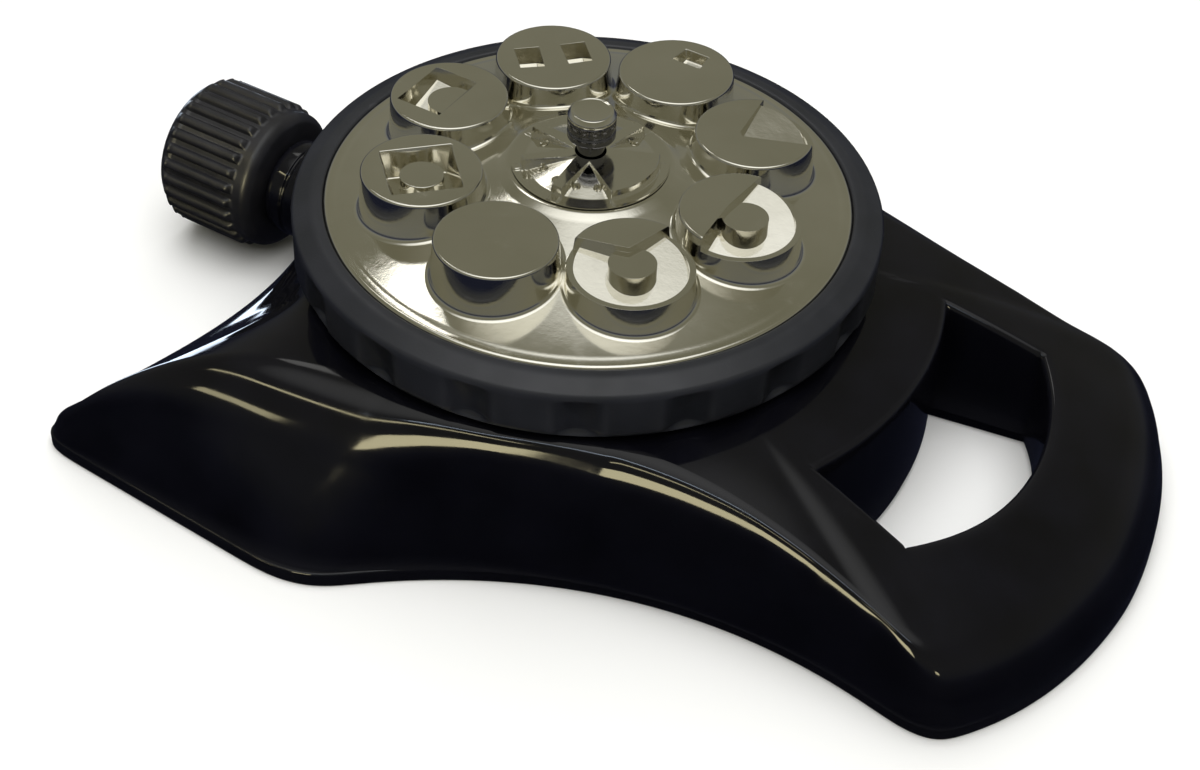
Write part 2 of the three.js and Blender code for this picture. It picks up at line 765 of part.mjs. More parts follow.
// a cut that opens outwards like a fan, from a point in front of the pin
function fan(halfAngle, startU) {
  const far = buttonR * 1.6;
  const points = [[startU, -0.8], [startU, 0.8]];
  const steps = 4;
  for (let i = steps; i >= 0; i -= 1) {
    const angle = -halfAngle + (2 * halfAngle * i) / steps;
    points.push([startU + far * Math.cos(angle), far * Math.sin(angle)]);
  }
  return points;
}

function rectangle(u0, u1, halfV) {
  return [[u0, -halfV], [u1, -halfV], [u1, halfV], [u0, halfV]];
}

const skirtLowZ = gripLowZ + 1.5;
const floorZ = buttonTopZ - pocketDeep;
const floorThick = 1.6;
const buttonLowZ = dialRimZ - 0.8;
const pilotTopZ = dialRimZ - 1.2;
// in order from the nozzle over the port, counter-clockwise; u is outwards and v round the dial
const nozzles = [
  { cuts: [fan(deg(68), -3)], pinU: 0.5, pinR: 4.6 },
  { cuts: [fan(deg(38), -3)], pinR: 0 },
  { cuts: [rectangle(5, 8.6, 4.6)], pinR: 0 },
  { cuts: [rectangle(2, 7, 5.5), rectangle(-6, -2.4, 5)], pinR: 0 },
  { cuts: [rectangle(-4.5, 6.5, 7)], pinU: -0.5, pinR: 2.8 },
  { cuts: [rectangle(-8, 8, 8)], pinU: 0, pinR: 4.4 },
  { cuts: [], pinR: 0 },
  { cuts: [fan(deg(99), -1)], pinU: 3.5, pinR: 4.8 },
];

const hubR = boltR + 5; // boss inside the dial that turns on the bush
const pinDrop = 1; // of a pin's top below its button

function place(geometry, angle) {
  return solid(geometry.translate(buttonRingR, 0, 0).rotateZ(angle));
}

// adds one nozzle's button and feed tube to the dial and cuts its pockets, chamber and jet
function addNozzle(dial, angle, { cuts, pinR, pinU = 0 }) {
  const button = turned([
    [0, buttonLowZ],
    [buttonR + buttonDraft, buttonLowZ],
    [buttonR, buttonTopZ - buttonChamfer],
    [buttonR - buttonChamfer, buttonTopZ],
    [0, buttonTopZ],
  ], 20);
  let made = dial.add(place(button, angle));
  made = made.add(place(rod(nozzleTubeR, tubeLowZ, buttonLowZ + 1, 10), angle));
  for (const cut of cuts) {
    let pocket = place(prism(cut, floorZ, buttonTopZ + 1), angle);
    if (pinR > 0) {
      const pin = rod(pinR, floorZ - 1, buttonTopZ - pinDrop, 12).translate(pinU, 0, 0);
      pocket = pocket.subtract(place(pin, angle));
    }
    made = made.subtract(pocket);
  }
  made = made.subtract(place(rod(nozzleChamberR, tubeLowZ - 1, floorZ - floorThick, 10), angle));
  if (cuts.length > 0) {
    const edge = pinR > 0 ? pinU + pinR : cuts[0][1][0];
    const jetU = Math.min(edge + jetR, nozzleChamberR - jetR / 2);
    const jet = rod(jetR, floorZ - 2 * floorThick, floorZ + 0.5, 6).translate(jetU, 0, 0);
    made = made.subtract(place(jet, angle));
  }
  return made;
}

function makeDial() {
  const under = domeProfile(dialPlateThick).filter(([r]) => r < skirtInnerR).reverse();
  const profile = [
    [skirtInnerR, skirtLowZ],
    [dialR, skirtLowZ],
    ...domeProfile(0),
    [boltR + gap, domeTopZ],
    [boltR + gap, tubeLowZ],
    [hubR, tubeLowZ],
    [hubR, domeTopZ - dialPlateThick],
    ...under,
    [skirtInnerR, domeZ(skirtInnerR) - dialPlateThick],
    [skirtInnerR, skirtLowZ],
  ];
  let dial = solid(turned(profile, 48));
  buttonAngles.forEach((angle, i) => {
    dial = addNozzle(dial, angle, nozzles[i]);
  });
  for (const [x, y] of plateScrewPlaces) {
    const boss = solid(rod(screwR + bossWall, tubeLowZ, dialRimZ, 10).translate(x, y, 0));
    const pilot = solid(rod(screwR + gap, tubeLowZ - 1, pilotTopZ, 8).translate(x, y, 0));
    dial = dial.add(boss).subtract(pilot);
  }
  return dial;
}

function makeRose() {
  const lowZ = domeTopZ + gap;
  const highZ = lowZ + roseThick + roseHigh;
  let rose = solid(turned([
    [boltR + gap, lowZ],
    [roseR, lowZ],
    [roseR, lowZ + roseThick],
    [boltR + 2, highZ],
    [boltR + gap, highZ],
    [boltR + gap, lowZ],
  ], 40));
  const notchEnd = roseR + 2;
  for (let i = 0; i < roseNotches; i += 1) {
    const angle = (tau * (i + 0.5)) / roseNotches;
    const corners = [[boltR + 2.5, 0], [notchEnd, -roseNotchHalf], [notchEnd, roseNotchHalf]];
    const notch = prism(corners, lowZ + roseNotchFloor, highZ + 1).rotateZ(angle);
    rose = rose.subtract(solid(notch));
    for (const side of [-1, 1]) {
      const hole = rod(jetR, lowZ - 1, highZ, 6).translate(roseR - 3.2, side * roseHoleSide, 0);
      rose = rose.subtract(solid(hole.rotateZ(angle)));
    }
  }
  return rose;
}

function makeGrip() {
  const count = gripScallops * 4;
  const innerR = dialR + gap;
  const creaseZ = dialRimZ - gripCreaseDrop;
  const wave = (angle) => Math.max(0, Math.cos(angle * gripScallops)) * gripScallopDeep;
  const ringAt = (radius, z, depth) => Array.from({ length: count }, (_, i) => {
    const angle = (tau * i) / count;
    return [...polar(radius - depth * wave(angle), angle), z];
  });
  const outer = solid(loft([
    ringAt(gripR - 4.5, dialRimZ + 0.1, 0),
    ringAt(gripR - 0.3, creaseZ, 0),
    ringAt(gripR, creaseZ - 3, 1),
    ringAt(gripR, gripLowZ + 1.6, 1),
    ringAt(gripR - 1.2, gripLowZ, 0.4),
  ]));
  return outer.subtract(solid(rod(innerR, gripLowZ - 1, dialRimZ + 2, 54)));
}

const plateScrewPlaces = [0, 1, 2, 3].map((k) => polar(plateScrewR, (tau * (k + 0.25)) / 4));

function makePlate(lowZ, highZ, radius, centreR) {
  let plate = solid(ring(radius, centreR, lowZ, highZ, 40));
  for (const angle of buttonAngles) {
    plate = plate.subtract(place(rod(nozzleBoreR, lowZ - 1, highZ + 1, 8), angle));
  }
  for (const [x, y] of plateScrewPlaces) {
    const hole = rod(screwR + gap, lowZ - 1, highZ + 1, 8);
    plate = plate.subtract(solid(hole.translate(x, y, 0)));
  }
  return plate;
}

function makeValvePlate() {
  let plate = makePlate(valvePlateLowZ, valvePlateTopZ, skirtInnerR - gap, bushR + gap);
  buttonAngles.forEach((angle) => {
    const rib = new THREE.CylinderGeometry(ribR, ribR, ribLong, 8)
      .rotateZ(Math.PI / 2)
      .translate(detentR, 0, valvePlateLowZ)
      .rotateZ(angle + tau / buttonCount / 2);
    plate = plate.add(solid(rib));
  });
  for (const [x, y] of plateScrewPlaces) {
    const sink = rod(screwHeadR + gap, valvePlateLowZ - 1, valvePlateLowZ + screwHeadHigh + gap, 12);
    plate = plate.subtract(solid(sink.translate(x, y, 0)));
  }
  return plate;
}

addPart("dial_face", makeDial(), chrome);
addPart("centre_rose", makeRose(), chrome);
addPart("grip_ring", makeGrip(), rubberGrey);
addPart("valve_plate", makeValvePlate(), innerGrey);
const gasket = makePlate(gasketLowZ, gasketLowZ + gasketThick, skirtInnerR - gap, hubR + gap);
addPart("dial_gasket", gasket, rubberGrey);
plateScrewPlaces.forEach(([x, y], i) => {
  const headZ = valvePlateLowZ + screwHeadHigh;
  addPart(`plate_screw_${i + 1}`, screw(headZ, pilotTopZ - gap).translate(x, y, 0), steel);
});
addPart("pivot_bush", ring(bushR, boltR + gap, valvePlateLowZ, valvePlateTopZ), acetal);
const thrust = ring(towerR - 0.4, boltR + gap, towerTopZ + gap, valvePlateLowZ - gap);
addPart("thrust_washer", thrust, acetal);

// ---- pivot bolt and its cap ----
const capLowZ = capTopZ - capThick;
const plugR = 1.8; // of the stub that holds the cap in the bolt
const plugLong = 2.6;
const headEdge = 0.5;

const bolt = turned([
  [0, boltLowZ],
  [boltR, boltLowZ],
  [boltR, boltHeadLowZ],
  [boltHeadR - headEdge, boltHeadLowZ],
  [boltHeadR, boltHeadLowZ + headEdge],
  [boltHeadR, capLowZ - gap - headEdge],
  [boltHeadR - headEdge, capLowZ - gap],
  [plugR + gap, capLowZ - gap],
  [plugR + gap, capLowZ - plugLong],
  [0, capLowZ - plugLong],
], 20);
addPart("pivot_bolt", bolt, steel);
const cap = turned([
  [0, capLowZ - plugLong + gap],
  [plugR, capLowZ - plugLong + gap],
  [plugR, capLowZ],
  [boltHeadR, capLowZ],
  [boltHeadR + 0.1, capLowZ + 0.8],
  [boltHeadR - 0.6, capTopZ],
  [0, capTopZ],
], 20);
addPart("pivot_cap", cap, chrome);

export default sprinkler;
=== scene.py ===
import json
import math

import bmesh
import bpy
import numpy as np
from mathutils import Matrix, Vector

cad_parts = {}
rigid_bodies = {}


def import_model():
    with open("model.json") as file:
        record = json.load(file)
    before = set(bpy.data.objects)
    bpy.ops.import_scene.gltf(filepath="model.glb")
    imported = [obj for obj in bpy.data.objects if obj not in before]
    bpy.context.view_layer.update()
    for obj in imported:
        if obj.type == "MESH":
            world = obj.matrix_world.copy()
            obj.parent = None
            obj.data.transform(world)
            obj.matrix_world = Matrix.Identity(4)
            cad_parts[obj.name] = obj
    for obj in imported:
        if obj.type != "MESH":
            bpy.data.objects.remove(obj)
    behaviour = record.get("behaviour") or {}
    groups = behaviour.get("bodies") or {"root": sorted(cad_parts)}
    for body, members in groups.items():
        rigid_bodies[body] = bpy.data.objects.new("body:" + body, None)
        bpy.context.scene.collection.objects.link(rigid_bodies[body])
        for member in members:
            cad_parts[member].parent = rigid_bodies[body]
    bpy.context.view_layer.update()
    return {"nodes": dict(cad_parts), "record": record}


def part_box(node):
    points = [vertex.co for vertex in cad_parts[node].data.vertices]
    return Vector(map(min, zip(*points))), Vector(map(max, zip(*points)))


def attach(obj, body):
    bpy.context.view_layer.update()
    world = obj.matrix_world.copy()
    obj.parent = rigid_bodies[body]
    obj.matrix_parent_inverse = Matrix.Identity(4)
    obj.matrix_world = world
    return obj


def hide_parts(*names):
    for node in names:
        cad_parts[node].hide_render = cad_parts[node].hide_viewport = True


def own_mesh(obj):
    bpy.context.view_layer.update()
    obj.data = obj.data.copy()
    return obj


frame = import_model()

# A multi-pattern turret sprinkler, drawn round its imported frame. Lengths are in millimetres in the
# frame's own axes: the origin is on the ground under the dial's axis, +X points to the handle.
MM = 0.001
TAU = 2 * math.pi


def mm_box(node):
    """Lowest and highest corner of a CAD node, in millimetres."""
    low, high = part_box(node)
    return np.array(low) / MM, np.array(high) / MM


shell_low = mm_box("base_top_shell")[0]
cover_low, cover_high = mm_box("base_bottom_cover")
dial_high = mm_box("dial_face")[1]
rose_low, rose_high = mm_box("centre_rose")
grip_low, grip_high = mm_box("grip_ring")
collar_low, collar_high = mm_box("inlet_collar")
stem_low, stem_high = mm_box("inlet_stem")
bolt_low, bolt_high = mm_box("pivot_bolt")
cap_high = mm_box("pivot_cap")[1]
washer_low, washer_high = mm_box("hose_washer")

# the clearance that the CAD model keeps between pieces that touch on the real object
GAP = 0.3

# ---- driving sizes of the base, the same shape as the CAD model's ----
HOSE_END_X = -68.0
WING_X = -89.0
WING_Y = 92.0
WING_REAR_X = -13.0
HANDLE_X = 135.0
CORNER_X = 115.0
CORNER_Y = 57.5
PLATFORM_Z = 37.0
PLATFORM_R = 60.0
HANDLE_TOP_Z = 16.0
WING_TOP_Z = 7.5
RAMP_EDGE = 1.6
FLANK_Y = 10.5
FLANK_WIDE = 9.0
TOP_CURVE = 1.4
RAMP_CURVE = 0.75
SHELL_LOW_Z = float(shell_low[2])
WALL = 2.4
HOLE_INNER_R = 79.8
HOLE_INNER_Y = 30.8
HOLE_OUTER_X = 107.5
HOLE_CORNER_X = 95.6
HOLE_CORNER_Y = 34.0


# ---- mesh helpers ----
WELD = 2e-6
SLIVER = 1e-6
CORNER_SHARE = 0.45


def new_piece(name, vertices, faces, material, body, nodes=(), slot=None, sharp=40.0):
    """A mesh piece from millimetre points, with its normals facing out and its edges kept crisp."""
    mesh = bpy.data.meshes.new(name)
    mesh.from_pydata([tuple(np.asarray(p) * MM) for p in vertices], [], [tuple(f) for f in faces])
    bm = bmesh.new()
    bm.from_mesh(mesh)
    bmesh.ops.remove_doubles(bm, verts=bm.verts, dist=WELD)
    bmesh.ops.dissolve_degenerate(bm, edges=bm.edges, dist=SLIVER)
    loose = [v for v in bm.verts if not v.link_faces]
    bmesh.ops.delete(bm, geom=loose, context="VERTS")
    bmesh.ops.recalc_face_normals(bm, faces=bm.faces)
    bm.to_mesh(mesh)
    bm.free()
    piece = bpy.data.objects.new(name, mesh)
    bpy.context.scene.collection.objects.link(piece)
    mesh.materials.append(material)
    smooth(piece, sharp)
    if body:
        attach(piece, body)
    if nodes:
        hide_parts(*nodes)
    return piece


def smooth(piece, sharp=40.0):
    mesh = piece.data
    mesh.polygons.foreach_set("use_smooth", [True] * len(mesh.polygons))
    mesh.set_sharp_from_angle(angle=math.radians(sharp))


def apply_modifiers(piece):
    evaluated = piece.evaluated_get(bpy.context.evaluated_depsgraph_get())
    made = bpy.data.meshes.new_from_object(evaluated)
    piece.modifiers.clear()
    piece.data = made


def grid_faces(rows, columns, closed=True, keep=lambda r, c: True):
    """Quads between rows of points; closed rows run all the way round."""
    faces = []
    for r in range(rows - 1):
        for c in range(columns if closed else columns - 1):
            d = (c + 1) % columns
            if keep(r, c):
                faces.append((r * columns + c, r * columns + d, (r + 1) * columns + d, (r + 1) * columns + c))
    return faces


def softened(profile, radius, steps=4):
    """A profile whose inner corners are rounded off by about a radius."""
    points = [np.array(p, float) for p in profile]
    result = [points[0]]
    for before, corner, after in zip(points, points[1:], points[2:]):
        to_before, to_after = before - corner, after - corner
        length_before, length_after = np.linalg.norm(to_before), np.linalg.norm(to_after)
        reach = min(radius, length_before * CORNER_SHARE, length_after * CORNER_SHARE)
        start = corner + to_before / length_before * reach
        end = corner + to_after / length_after * reach
        for k in range(steps + 1):
            t = k / steps
            result.append(start * (1 - t) ** 2 + corner * 2 * t * (1 - t) + end * t * t)
    result.append(points[-1])
    return result


def circle(x, y, radius, count=32):
    angles = [TAU * k / count for k in range(count)]
    return [(x + radius * math.cos(a), y + radius * math.sin(a)) for a in angles]


def turned(radius, height, segments):
    """A row of points at one radius and height round the Z axis."""
    return [(x, y, height) for x, y in circle(0, 0, radius, segments)]


def lathe(name, profile, segments, material, body, along_inlet=False, **rest):
    """A piece turned about Z, or about the inlet's axis, from a profile of (radius, height)."""
    points = np.array([point for radius, height in profile for point in turned(radius, height, segments)])
    if along_inlet:
        points = on_inlet(points)
    return new_piece(name, points, grid_faces(len(profile), segments), material, body, **rest)


INLET_Z = float((collar_low[2] + collar_high[2]) / 2)


def on_inlet(points):
    """Turns points made about +Z so that their axis runs along -X at the inlet's height."""
    points = np.asarray(points, float)
    return np.stack([-points[:, 2], points[:, 1], points[:, 0] + INLET_Z], axis=1)


# ---- material helpers ----
def node(tree, kind, inputs=None, **settings):
    made = tree.nodes.new(kind)
    for key, value in settings.items():
        setattr(made, key, value)
    for key, value in (inputs or {}).items():
        if isinstance(value, bpy.types.NodeSocket):
            tree.links.new(value, made.inputs[key])
        else:
            made.inputs[key].default_value = value
    return made


def ramp(tree, value, stops):
    made = node(tree, "ShaderNodeValToRGB", {"Fac": value})
    made.color_ramp.elements[0].position = stops[0][0]
    made.color_ramp.elements[-1].position = stops[-1][0]
    for position, _ in stops[1:-1]:
        made.color_ramp.elements.new(position)
    for element, (position, colour) in zip(made.color_ramp.elements, stops):
        element.color = (*colour, 1)
    return made.outputs["Color"]


def grey(value):
    return (value, value, value)


def noise(tree, scale, detail=3.0, rough=0.5, stretch=None):
    place = node(tree, "ShaderNodeTexCoord").outputs["Object"]
    if stretch:
        place = node(tree, "ShaderNodeMapping", {"Vector": place, "Scale": stretch}).outputs["Vector"]
    inputs = {"Vector": place, "Scale": scale, "Detail": detail, "Roughness": rough}
    return node(tree, "ShaderNodeTexNoise", inputs).outputs["Fac"]


def mottle(tree, low, high, scale, detail=3.0):
    """A colour or value that drifts between two over a noise."""
    return ramp(tree, noise(tree, scale, detail), [(0.3, low), (0.7, high)])


def bumped(tree, layers):
    """A normal from several (height, strength, distance in mm) layers, one after the other."""
    normal = None
    for height, strength, distance in layers:
        inputs = {"Height": height, "Strength": strength, "Distance": distance * MM}
        if normal is not None:
            inputs["Normal"] = normal
        normal = node(tree, "ShaderNodeBump", inputs).outputs["Normal"]
    return normal


def material(name, colour, rough, layers, **sockets):
    """A principled material: colour and rough are functions of the tree that return a socket."""
    made = bpy.data.materials.new(name)
    made.use_nodes = True
    tree = made.node_tree
    shader = tree.nodes["Principled BSDF"]
    tree.links.new(colour(tree), shader.inputs["Base Color"])
    tree.links.new(rough(tree), shader.inputs["Roughness"])
    tree.links.new(bumped(tree, layers(tree)), shader.inputs["Normal"])
    for key, value in sockets.items():
        shader.inputs[key.replace("_", " ")].default_value = value
    return made


def mix_colour(tree, amount, first, second):
    made = node(tree, "ShaderNodeMix", data_type="RGBA")
    for key, value in (("Factor", amount), ("A", first), ("B", second)):
        socket = [s for s in made.inputs if s.name == key and s.enabled][0]
        if isinstance(value, bpy.types.NodeSocket):
            tree.links.new(value, socket)
        else:
            socket.default_value = (*value, 1)
    return [s for s in made.outputs if s.enabled][0]


def worn(tree, colour, rubbed):
    """A colour that turns into a lighter one along convex edges, where handling rubs a surface."""
    point = node(tree, "ShaderNodeNewGeometry").outputs["Pointiness"]
    return mix_colour(tree, ramp(tree, point, [(0.5, grey(0)), (0.56, grey(1))]), colour, rubbed)


gloss_black = material(
    "gloss_black",
    lambda t: worn(
        t, ramp(t, noise(t, 60), [(0.35, (0.0015, 0.0015, 0.0025)), (0.7, (0.003, 0.003, 0.005))]),
        (0.007, 0.007, 0.009),
    ),
    lambda t: ramp(t, noise(t, 90, 6, 0.6), [(0.35, grey(0.05)), (0.62, grey(0.10)), (0.75, grey(0.2))]),
    lambda t: [(noise(t, 35, 2), 0.12, 0.6), (noise(t, 900, 2), 0.03, 0.05)],
    Specular_IOR_Level=0.32,
)
cover_black = material(
    "cover_black",
    lambda t: mottle(t, (0.008, 0.008, 0.010), (0.014, 0.014, 0.017), 120),
    lambda t: mottle(t, grey(0.28), grey(0.42), 300, 4),
    lambda t: [(noise(t, 2500, 3), 0.25, 0.06)],
    IOR=1.5,
)
satin_black = material(
    "satin_black",
    lambda t: worn(t, mottle(t, (0.007, 0.007, 0.009), (0.013, 0.013, 0.016), 150), (0.03, 0.03, 0.033)),
    lambda t: mottle(t, grey(0.3), grey(0.44), 400, 4),
    lambda t: [(noise(t, 2200, 3), 0.3, 0.08)],
    IOR=1.5,
)
grip_rubber = material(
    "grip_rubber",
    lambda t: worn(t, mottle(t, (0.009, 0.010, 0.013), (0.015, 0.016, 0.021), 80, 5), (0.03, 0.031, 0.036)),
    lambda t: mottle(t, grey(0.30), grey(0.42), 200, 5),
    lambda t: [(noise(t, 1800, 4), 0.3, 0.08), (noise(t, 60, 2), 0.1, 0.3)],
    IOR=1.5,
)
seal_rubber = material(
    "seal_rubber",
    lambda t: mottle(t, (0.012, 0.012, 0.013), (0.022, 0.022, 0.024), 120),
    lambda t: mottle(t, grey(0.5), grey(0.7), 300, 4),
    lambda t: [(noise(t, 2000, 4), 0.3, 0.1)],
)
chrome = material(
    "chrome",
    lambda t: mottle(t, (0.78, 0.76, 0.68), (0.86, 0.84, 0.77), 45, 4),
    lambda t: ramp(t, noise(t, 140, 8, 0.65), [(0.35, grey(0.06)), (0.6, grey(0.12)), (0.75, grey(0.24))]),
    lambda t: [(noise(t, 55, 3), 0.16, 0.5), (noise(t, 1100, 4, 0.7), 0.14, 0.08)],
    Metallic=1.0,
)
steel = material(
    "steel",
    lambda t: mottle(t, (0.5, 0.5, 0.5), (0.66, 0.66, 0.65), 200, 4),
    lambda t: mottle(t, grey(0.24), grey(0.4), 500, 4),
    lambda t: [(noise(t, 900, 3, 0.5, (1, 1, 12)), 0.2, 0.05)],
    Metallic=1.0,
)
dark_steel = material(
    "dark_steel",
    lambda t: mottle(t, (0.17, 0.17, 0.20), (0.24, 0.24, 0.27), 200, 4),
    lambda t: mottle(t, grey(0.08), grey(0.16), 500, 4),
    lambda t: [(noise(t, 700, 3), 0.05, 0.03)],
    Metallic=1.0,
)
acetal = material(
    "acetal",
    lambda t: mottle(t, (0.72, 0.70, 0.64), (0.80, 0.78, 0.72), 90),
    lambda t: mottle(t, grey(0.4), grey(0.55), 300, 4),
    lambda t: [(noise(t, 1500, 3), 0.2, 0.06)],
)
inner_grey = material(
    "inner_grey",
    lambda t: mottle(t, (0.035, 0.036, 0.04), (0.05, 0.05, 0.056), 100, 4),
    lambda t: mottle(t, grey(0.4), grey(0.58), 300, 4),
    lambda t: [(noise(t, 1500, 3), 0.25, 0.07)],
)

# the CAD nodes that stay visible get the same materials, by the slots of the record
by_slot = {
    "gloss_black": gloss_black, "cover_black": cover_black, "satin_black": satin_black,
    "grip_rubber": grip_rubber, "seal_rubber": seal_rubber, "chrome": chrome, "steel": steel,
    "acetal": acetal, "inner_grey": inner_grey,
}
for part in frame["record"]["subparts"]:
    cad = frame["nodes"][part["node"]]
    cad.data.materials.clear()
    cad.data.materials.append(by_slot[part["material_slot"]])


# ---- base outlines ----
CHAIN_STEPS = [8, 10, 36, 14, 30, 14, 66, 14, 34]
BLEND_REACH = 6
BLEND_SPREAD = 2.2


def bezier(points, count):
    points = np.array(points, float)
    degree = len(points) - 1
    t = np.linspace(0, 1, count + 1)[:, None]
    return sum(
        math.comb(degree, k) * t**k * (1 - t) ** (degree - k) * points[k] for k in range(degree + 1)
    )


def chain(curves):
    """A closed outline from the curves of its +Y half, mirrored, with the joins blended."""
    runs = [bezier(curve, count) for curve, count in zip(curves, CHAIN_STEPS)]
    half = np.concatenate([runs[0], *(run[1:] for run in runs[1:])])
    mirrored = half[1:-1][::-1] * (1, -1, 1)
    loop = np.concatenate([half, mirrored])
    shifts = range(-BLEND_REACH, BLEND_REACH + 1)
    weights = [math.exp(-0.5 * (k / BLEND_SPREAD) ** 2) for k in shifts]
    return sum(w * np.roll(loop, k, axis=0) for w, k in zip(weights, shifts)) / sum(weights)


def foot_outline():
    """Where the base stands on the ground, from the hose end over the wing to the handle's end."""
    tip_before = (WING_X + 3.8, WING_Y - 14, 0)
    tip_after = (WING_X + 11, WING_Y - 3.8, 0)
    rear_before = (WING_REAR_X - 11, WING_Y - 0.5, 0)
    rear_after = (WING_REAR_X + 7, WING_Y - 6, 0)
    corner_before = (CORNER_X - 12, CORNER_Y - 3, 0)
    corner_after = (CORNER_X + 4, CORNER_Y - 6, 0)
    hose = (HOSE_END_X, 0, 0)
    flank = (HOSE_END_X - 2.4, FLANK_Y, 0)
    ramp_start = (HOSE_END_X - 4.4, FLANK_Y + FLANK_WIDE, 0)
    return chain([
        [hose, flank],
        [flank, ramp_start],
        [ramp_start, (HOSE_END_X - 9.5, WING_Y * 0.5, 0), tip_before],
        [tip_before, (WING_X, WING_Y - 4, 0), tip_after],
        [tip_after, rear_before],
        [rear_before, (WING_REAR_X, WING_Y, 0), rear_after],
        [rear_after, (WING_REAR_X + 33, WING_Y - 30, 0), (CORNER_X - 57, CORNER_Y - 12.5, 0), corner_before],
        [corner_before, (CORNER_X, CORNER_Y, 0), corner_after],
        [corner_after, (HANDLE_X - 1, CORNER_Y * 0.56, 0), (HANDLE_X, 0, 0)],
    ])


def brow_outline():
    """Where the base's top turns over into its side, station by station above the foot."""
    hose = (HOSE_END_X + 2.5, 0, PLATFORM_Z - 4)
    flank = (hose[0] - 1.5, FLANK_Y, hose[2] - 1)
    ramp_start = (hose[0] - 5, FLANK_Y + FLANK_WIDE, SHELL_LOW_Z + RAMP_EDGE)
    tip_before = (WING_X + 7, WING_Y - 17, WING_TOP_Z - 1)
    tip_after = (WING_X + 10, WING_Y - 7, WING_TOP_Z + 4.5)
    rear_before = (WING_REAR_X - 21, WING_Y - 18, PLATFORM_Z - 0.4)
    rear_after = (WING_REAR_X + 3, WING_Y - 21, PLATFORM_Z - 0.1)
    corner_before = (CORNER_X - 13, CORNER_Y - 4.5, HANDLE_TOP_Z + 6)
    corner_after = (CORNER_X + 1.5, CORNER_Y - 7.5, HANDLE_TOP_Z + 2)
    return chain([
        [hose, flank],
        [flank, (flank[0] - 0.8, flank[1] + 3.5, flank[2]),
         (ramp_start[0] + 0.8, ramp_start[1] - 3.5, ramp_start[2]), ramp_start],
        [ramp_start, (hose[0] - 10, WING_Y * 0.5, ramp_start[2]), tip_before],
        [tip_before, (WING_X + 3, WING_Y - 6.5, WING_TOP_Z - 1), tip_after],
        [tip_after, (WING_X + 23, WING_Y - 10, PLATFORM_Z - 10),
         (WING_X + 37, WING_Y - 14.5, PLATFORM_Z - 1), rear_before],
        [rear_before, (WING_REAR_X - 9, WING_Y - 20, PLATFORM_Z), rear_after],
        [rear_after, (WING_REAR_X + 31, WING_Y - 27, PLATFORM_Z + 0.5),
         (CORNER_X - 55, CORNER_Y - 9.5, PLATFORM_Z + 2), corner_before],
        [corner_before, (CORNER_X - 2, CORNER_Y - 1, HANDLE_TOP_Z + 3), corner_after],
        [corner_after, (HANDLE_X - 6, CORNER_Y * 0.6, HANDLE_TOP_Z + 0.5), (HANDLE_X - 3.5, 0, HANDLE_TOP_Z)],
    ])


foot = foot_outline()
brow = brow_outline()
stations = len(foot)
brow_angle = np.arctan2(brow[:, 1], brow[:, 0])
brow_radius = np.hypot(brow[:, 0], brow[:, 1])
order = np.argsort(brow_angle)
knot_angle = np.concatenate([brow_angle[order] - TAU, brow_angle[order], brow_angle[order] + TAU])
knot_radius = np.tile(brow_radius[order], 3)
knot_height = np.tile(brow[order, 2], 3)


def smoothstep(value, low, high):
    t = min(1.0, max(0.0, (value - low) / (high - low)))
    return t * t * (3 - 2 * t)


def fall_at(angle):
    """How late the top falls at a bearing: at once as a ramp between the wings, domed elsewhere."""
    from_hose = math.degrees(math.pi - abs(math.atan2(math.sin(angle), math.cos(angle))))
    return RAMP_CURVE + (TOP_CURVE - RAMP_CURVE) * smoothstep(from_hose, 40, 68)


def top_height(radius, angle):
    """Height of the base's top, which falls from the platform's edge to the brow."""
    edge_r = np.interp(angle, knot_angle, knot_radius)
    edge_z = np.interp(angle, knot_angle, knot_height)
    t = min(1.0, max(0.0, (radius - PLATFORM_R) / (edge_r - PLATFORM_R)))
    return PLATFORM_Z + (edge_z - PLATFORM_Z) * t ** fall_at(angle)


# ---- base shell, as a grid of stations round the outline and rings from the middle outwards ----
HOLE_ROUND = 1.6
SIDE_MID_R = 100.0
WARP_END = 1.28
RAMP_ROUND = 2.2
SIDE_ROUND = 9.5
HANDLE_ROUND = 7.0
RAMP_ENDS_DEG = (44, 62)
HANDLE_STARTS_DEG = (140, 158)
STEEP_STARTS_DEG = (100, 122)
STEEP_ENDS_DEG = (140, 154)
arc_rise = HOLE_OUTER_X - HOLE_CORNER_X
hole_arc_r = (HOLE_CORNER_Y**2 + arc_rise**2) / (2 * arc_rise)
hole_arc_x = HOLE_OUTER_X - hole_arc_r
inner_side_angle = math.asin(HOLE_INNER_Y / HOLE_INNER_R)
outer_side_angle = math.atan2(HOLE_CORNER_Y, HOLE_CORNER_X)
side_station_angle = (inner_side_angle + outer_side_angle) / 2
side_index = min(range(stations), key=lambda i: abs(brow_angle[i] - side_station_angle))
side_angle = brow_angle[side_index]


def hole_side_angle(radius):
    """Bearing of the hole's straight side at a radius, opened by the rounding of its top edge."""
    inner_r, outer_r = HOLE_INNER_R, math.hypot(HOLE_CORNER_X, HOLE_CORNER_Y)
    inside = (HOLE_INNER_R * math.cos(inner_side_angle), HOLE_INNER_Y)
    t = min(1.15, max(-0.15, (radius - inner_r) / (outer_r - inner_r)))
    x = inside[0] + (HOLE_CORNER_X - inside[0]) * t
    y = inside[1] + (HOLE_CORNER_Y - inside[1]) * t
    return math.atan2(y + HOLE_ROUND, x)


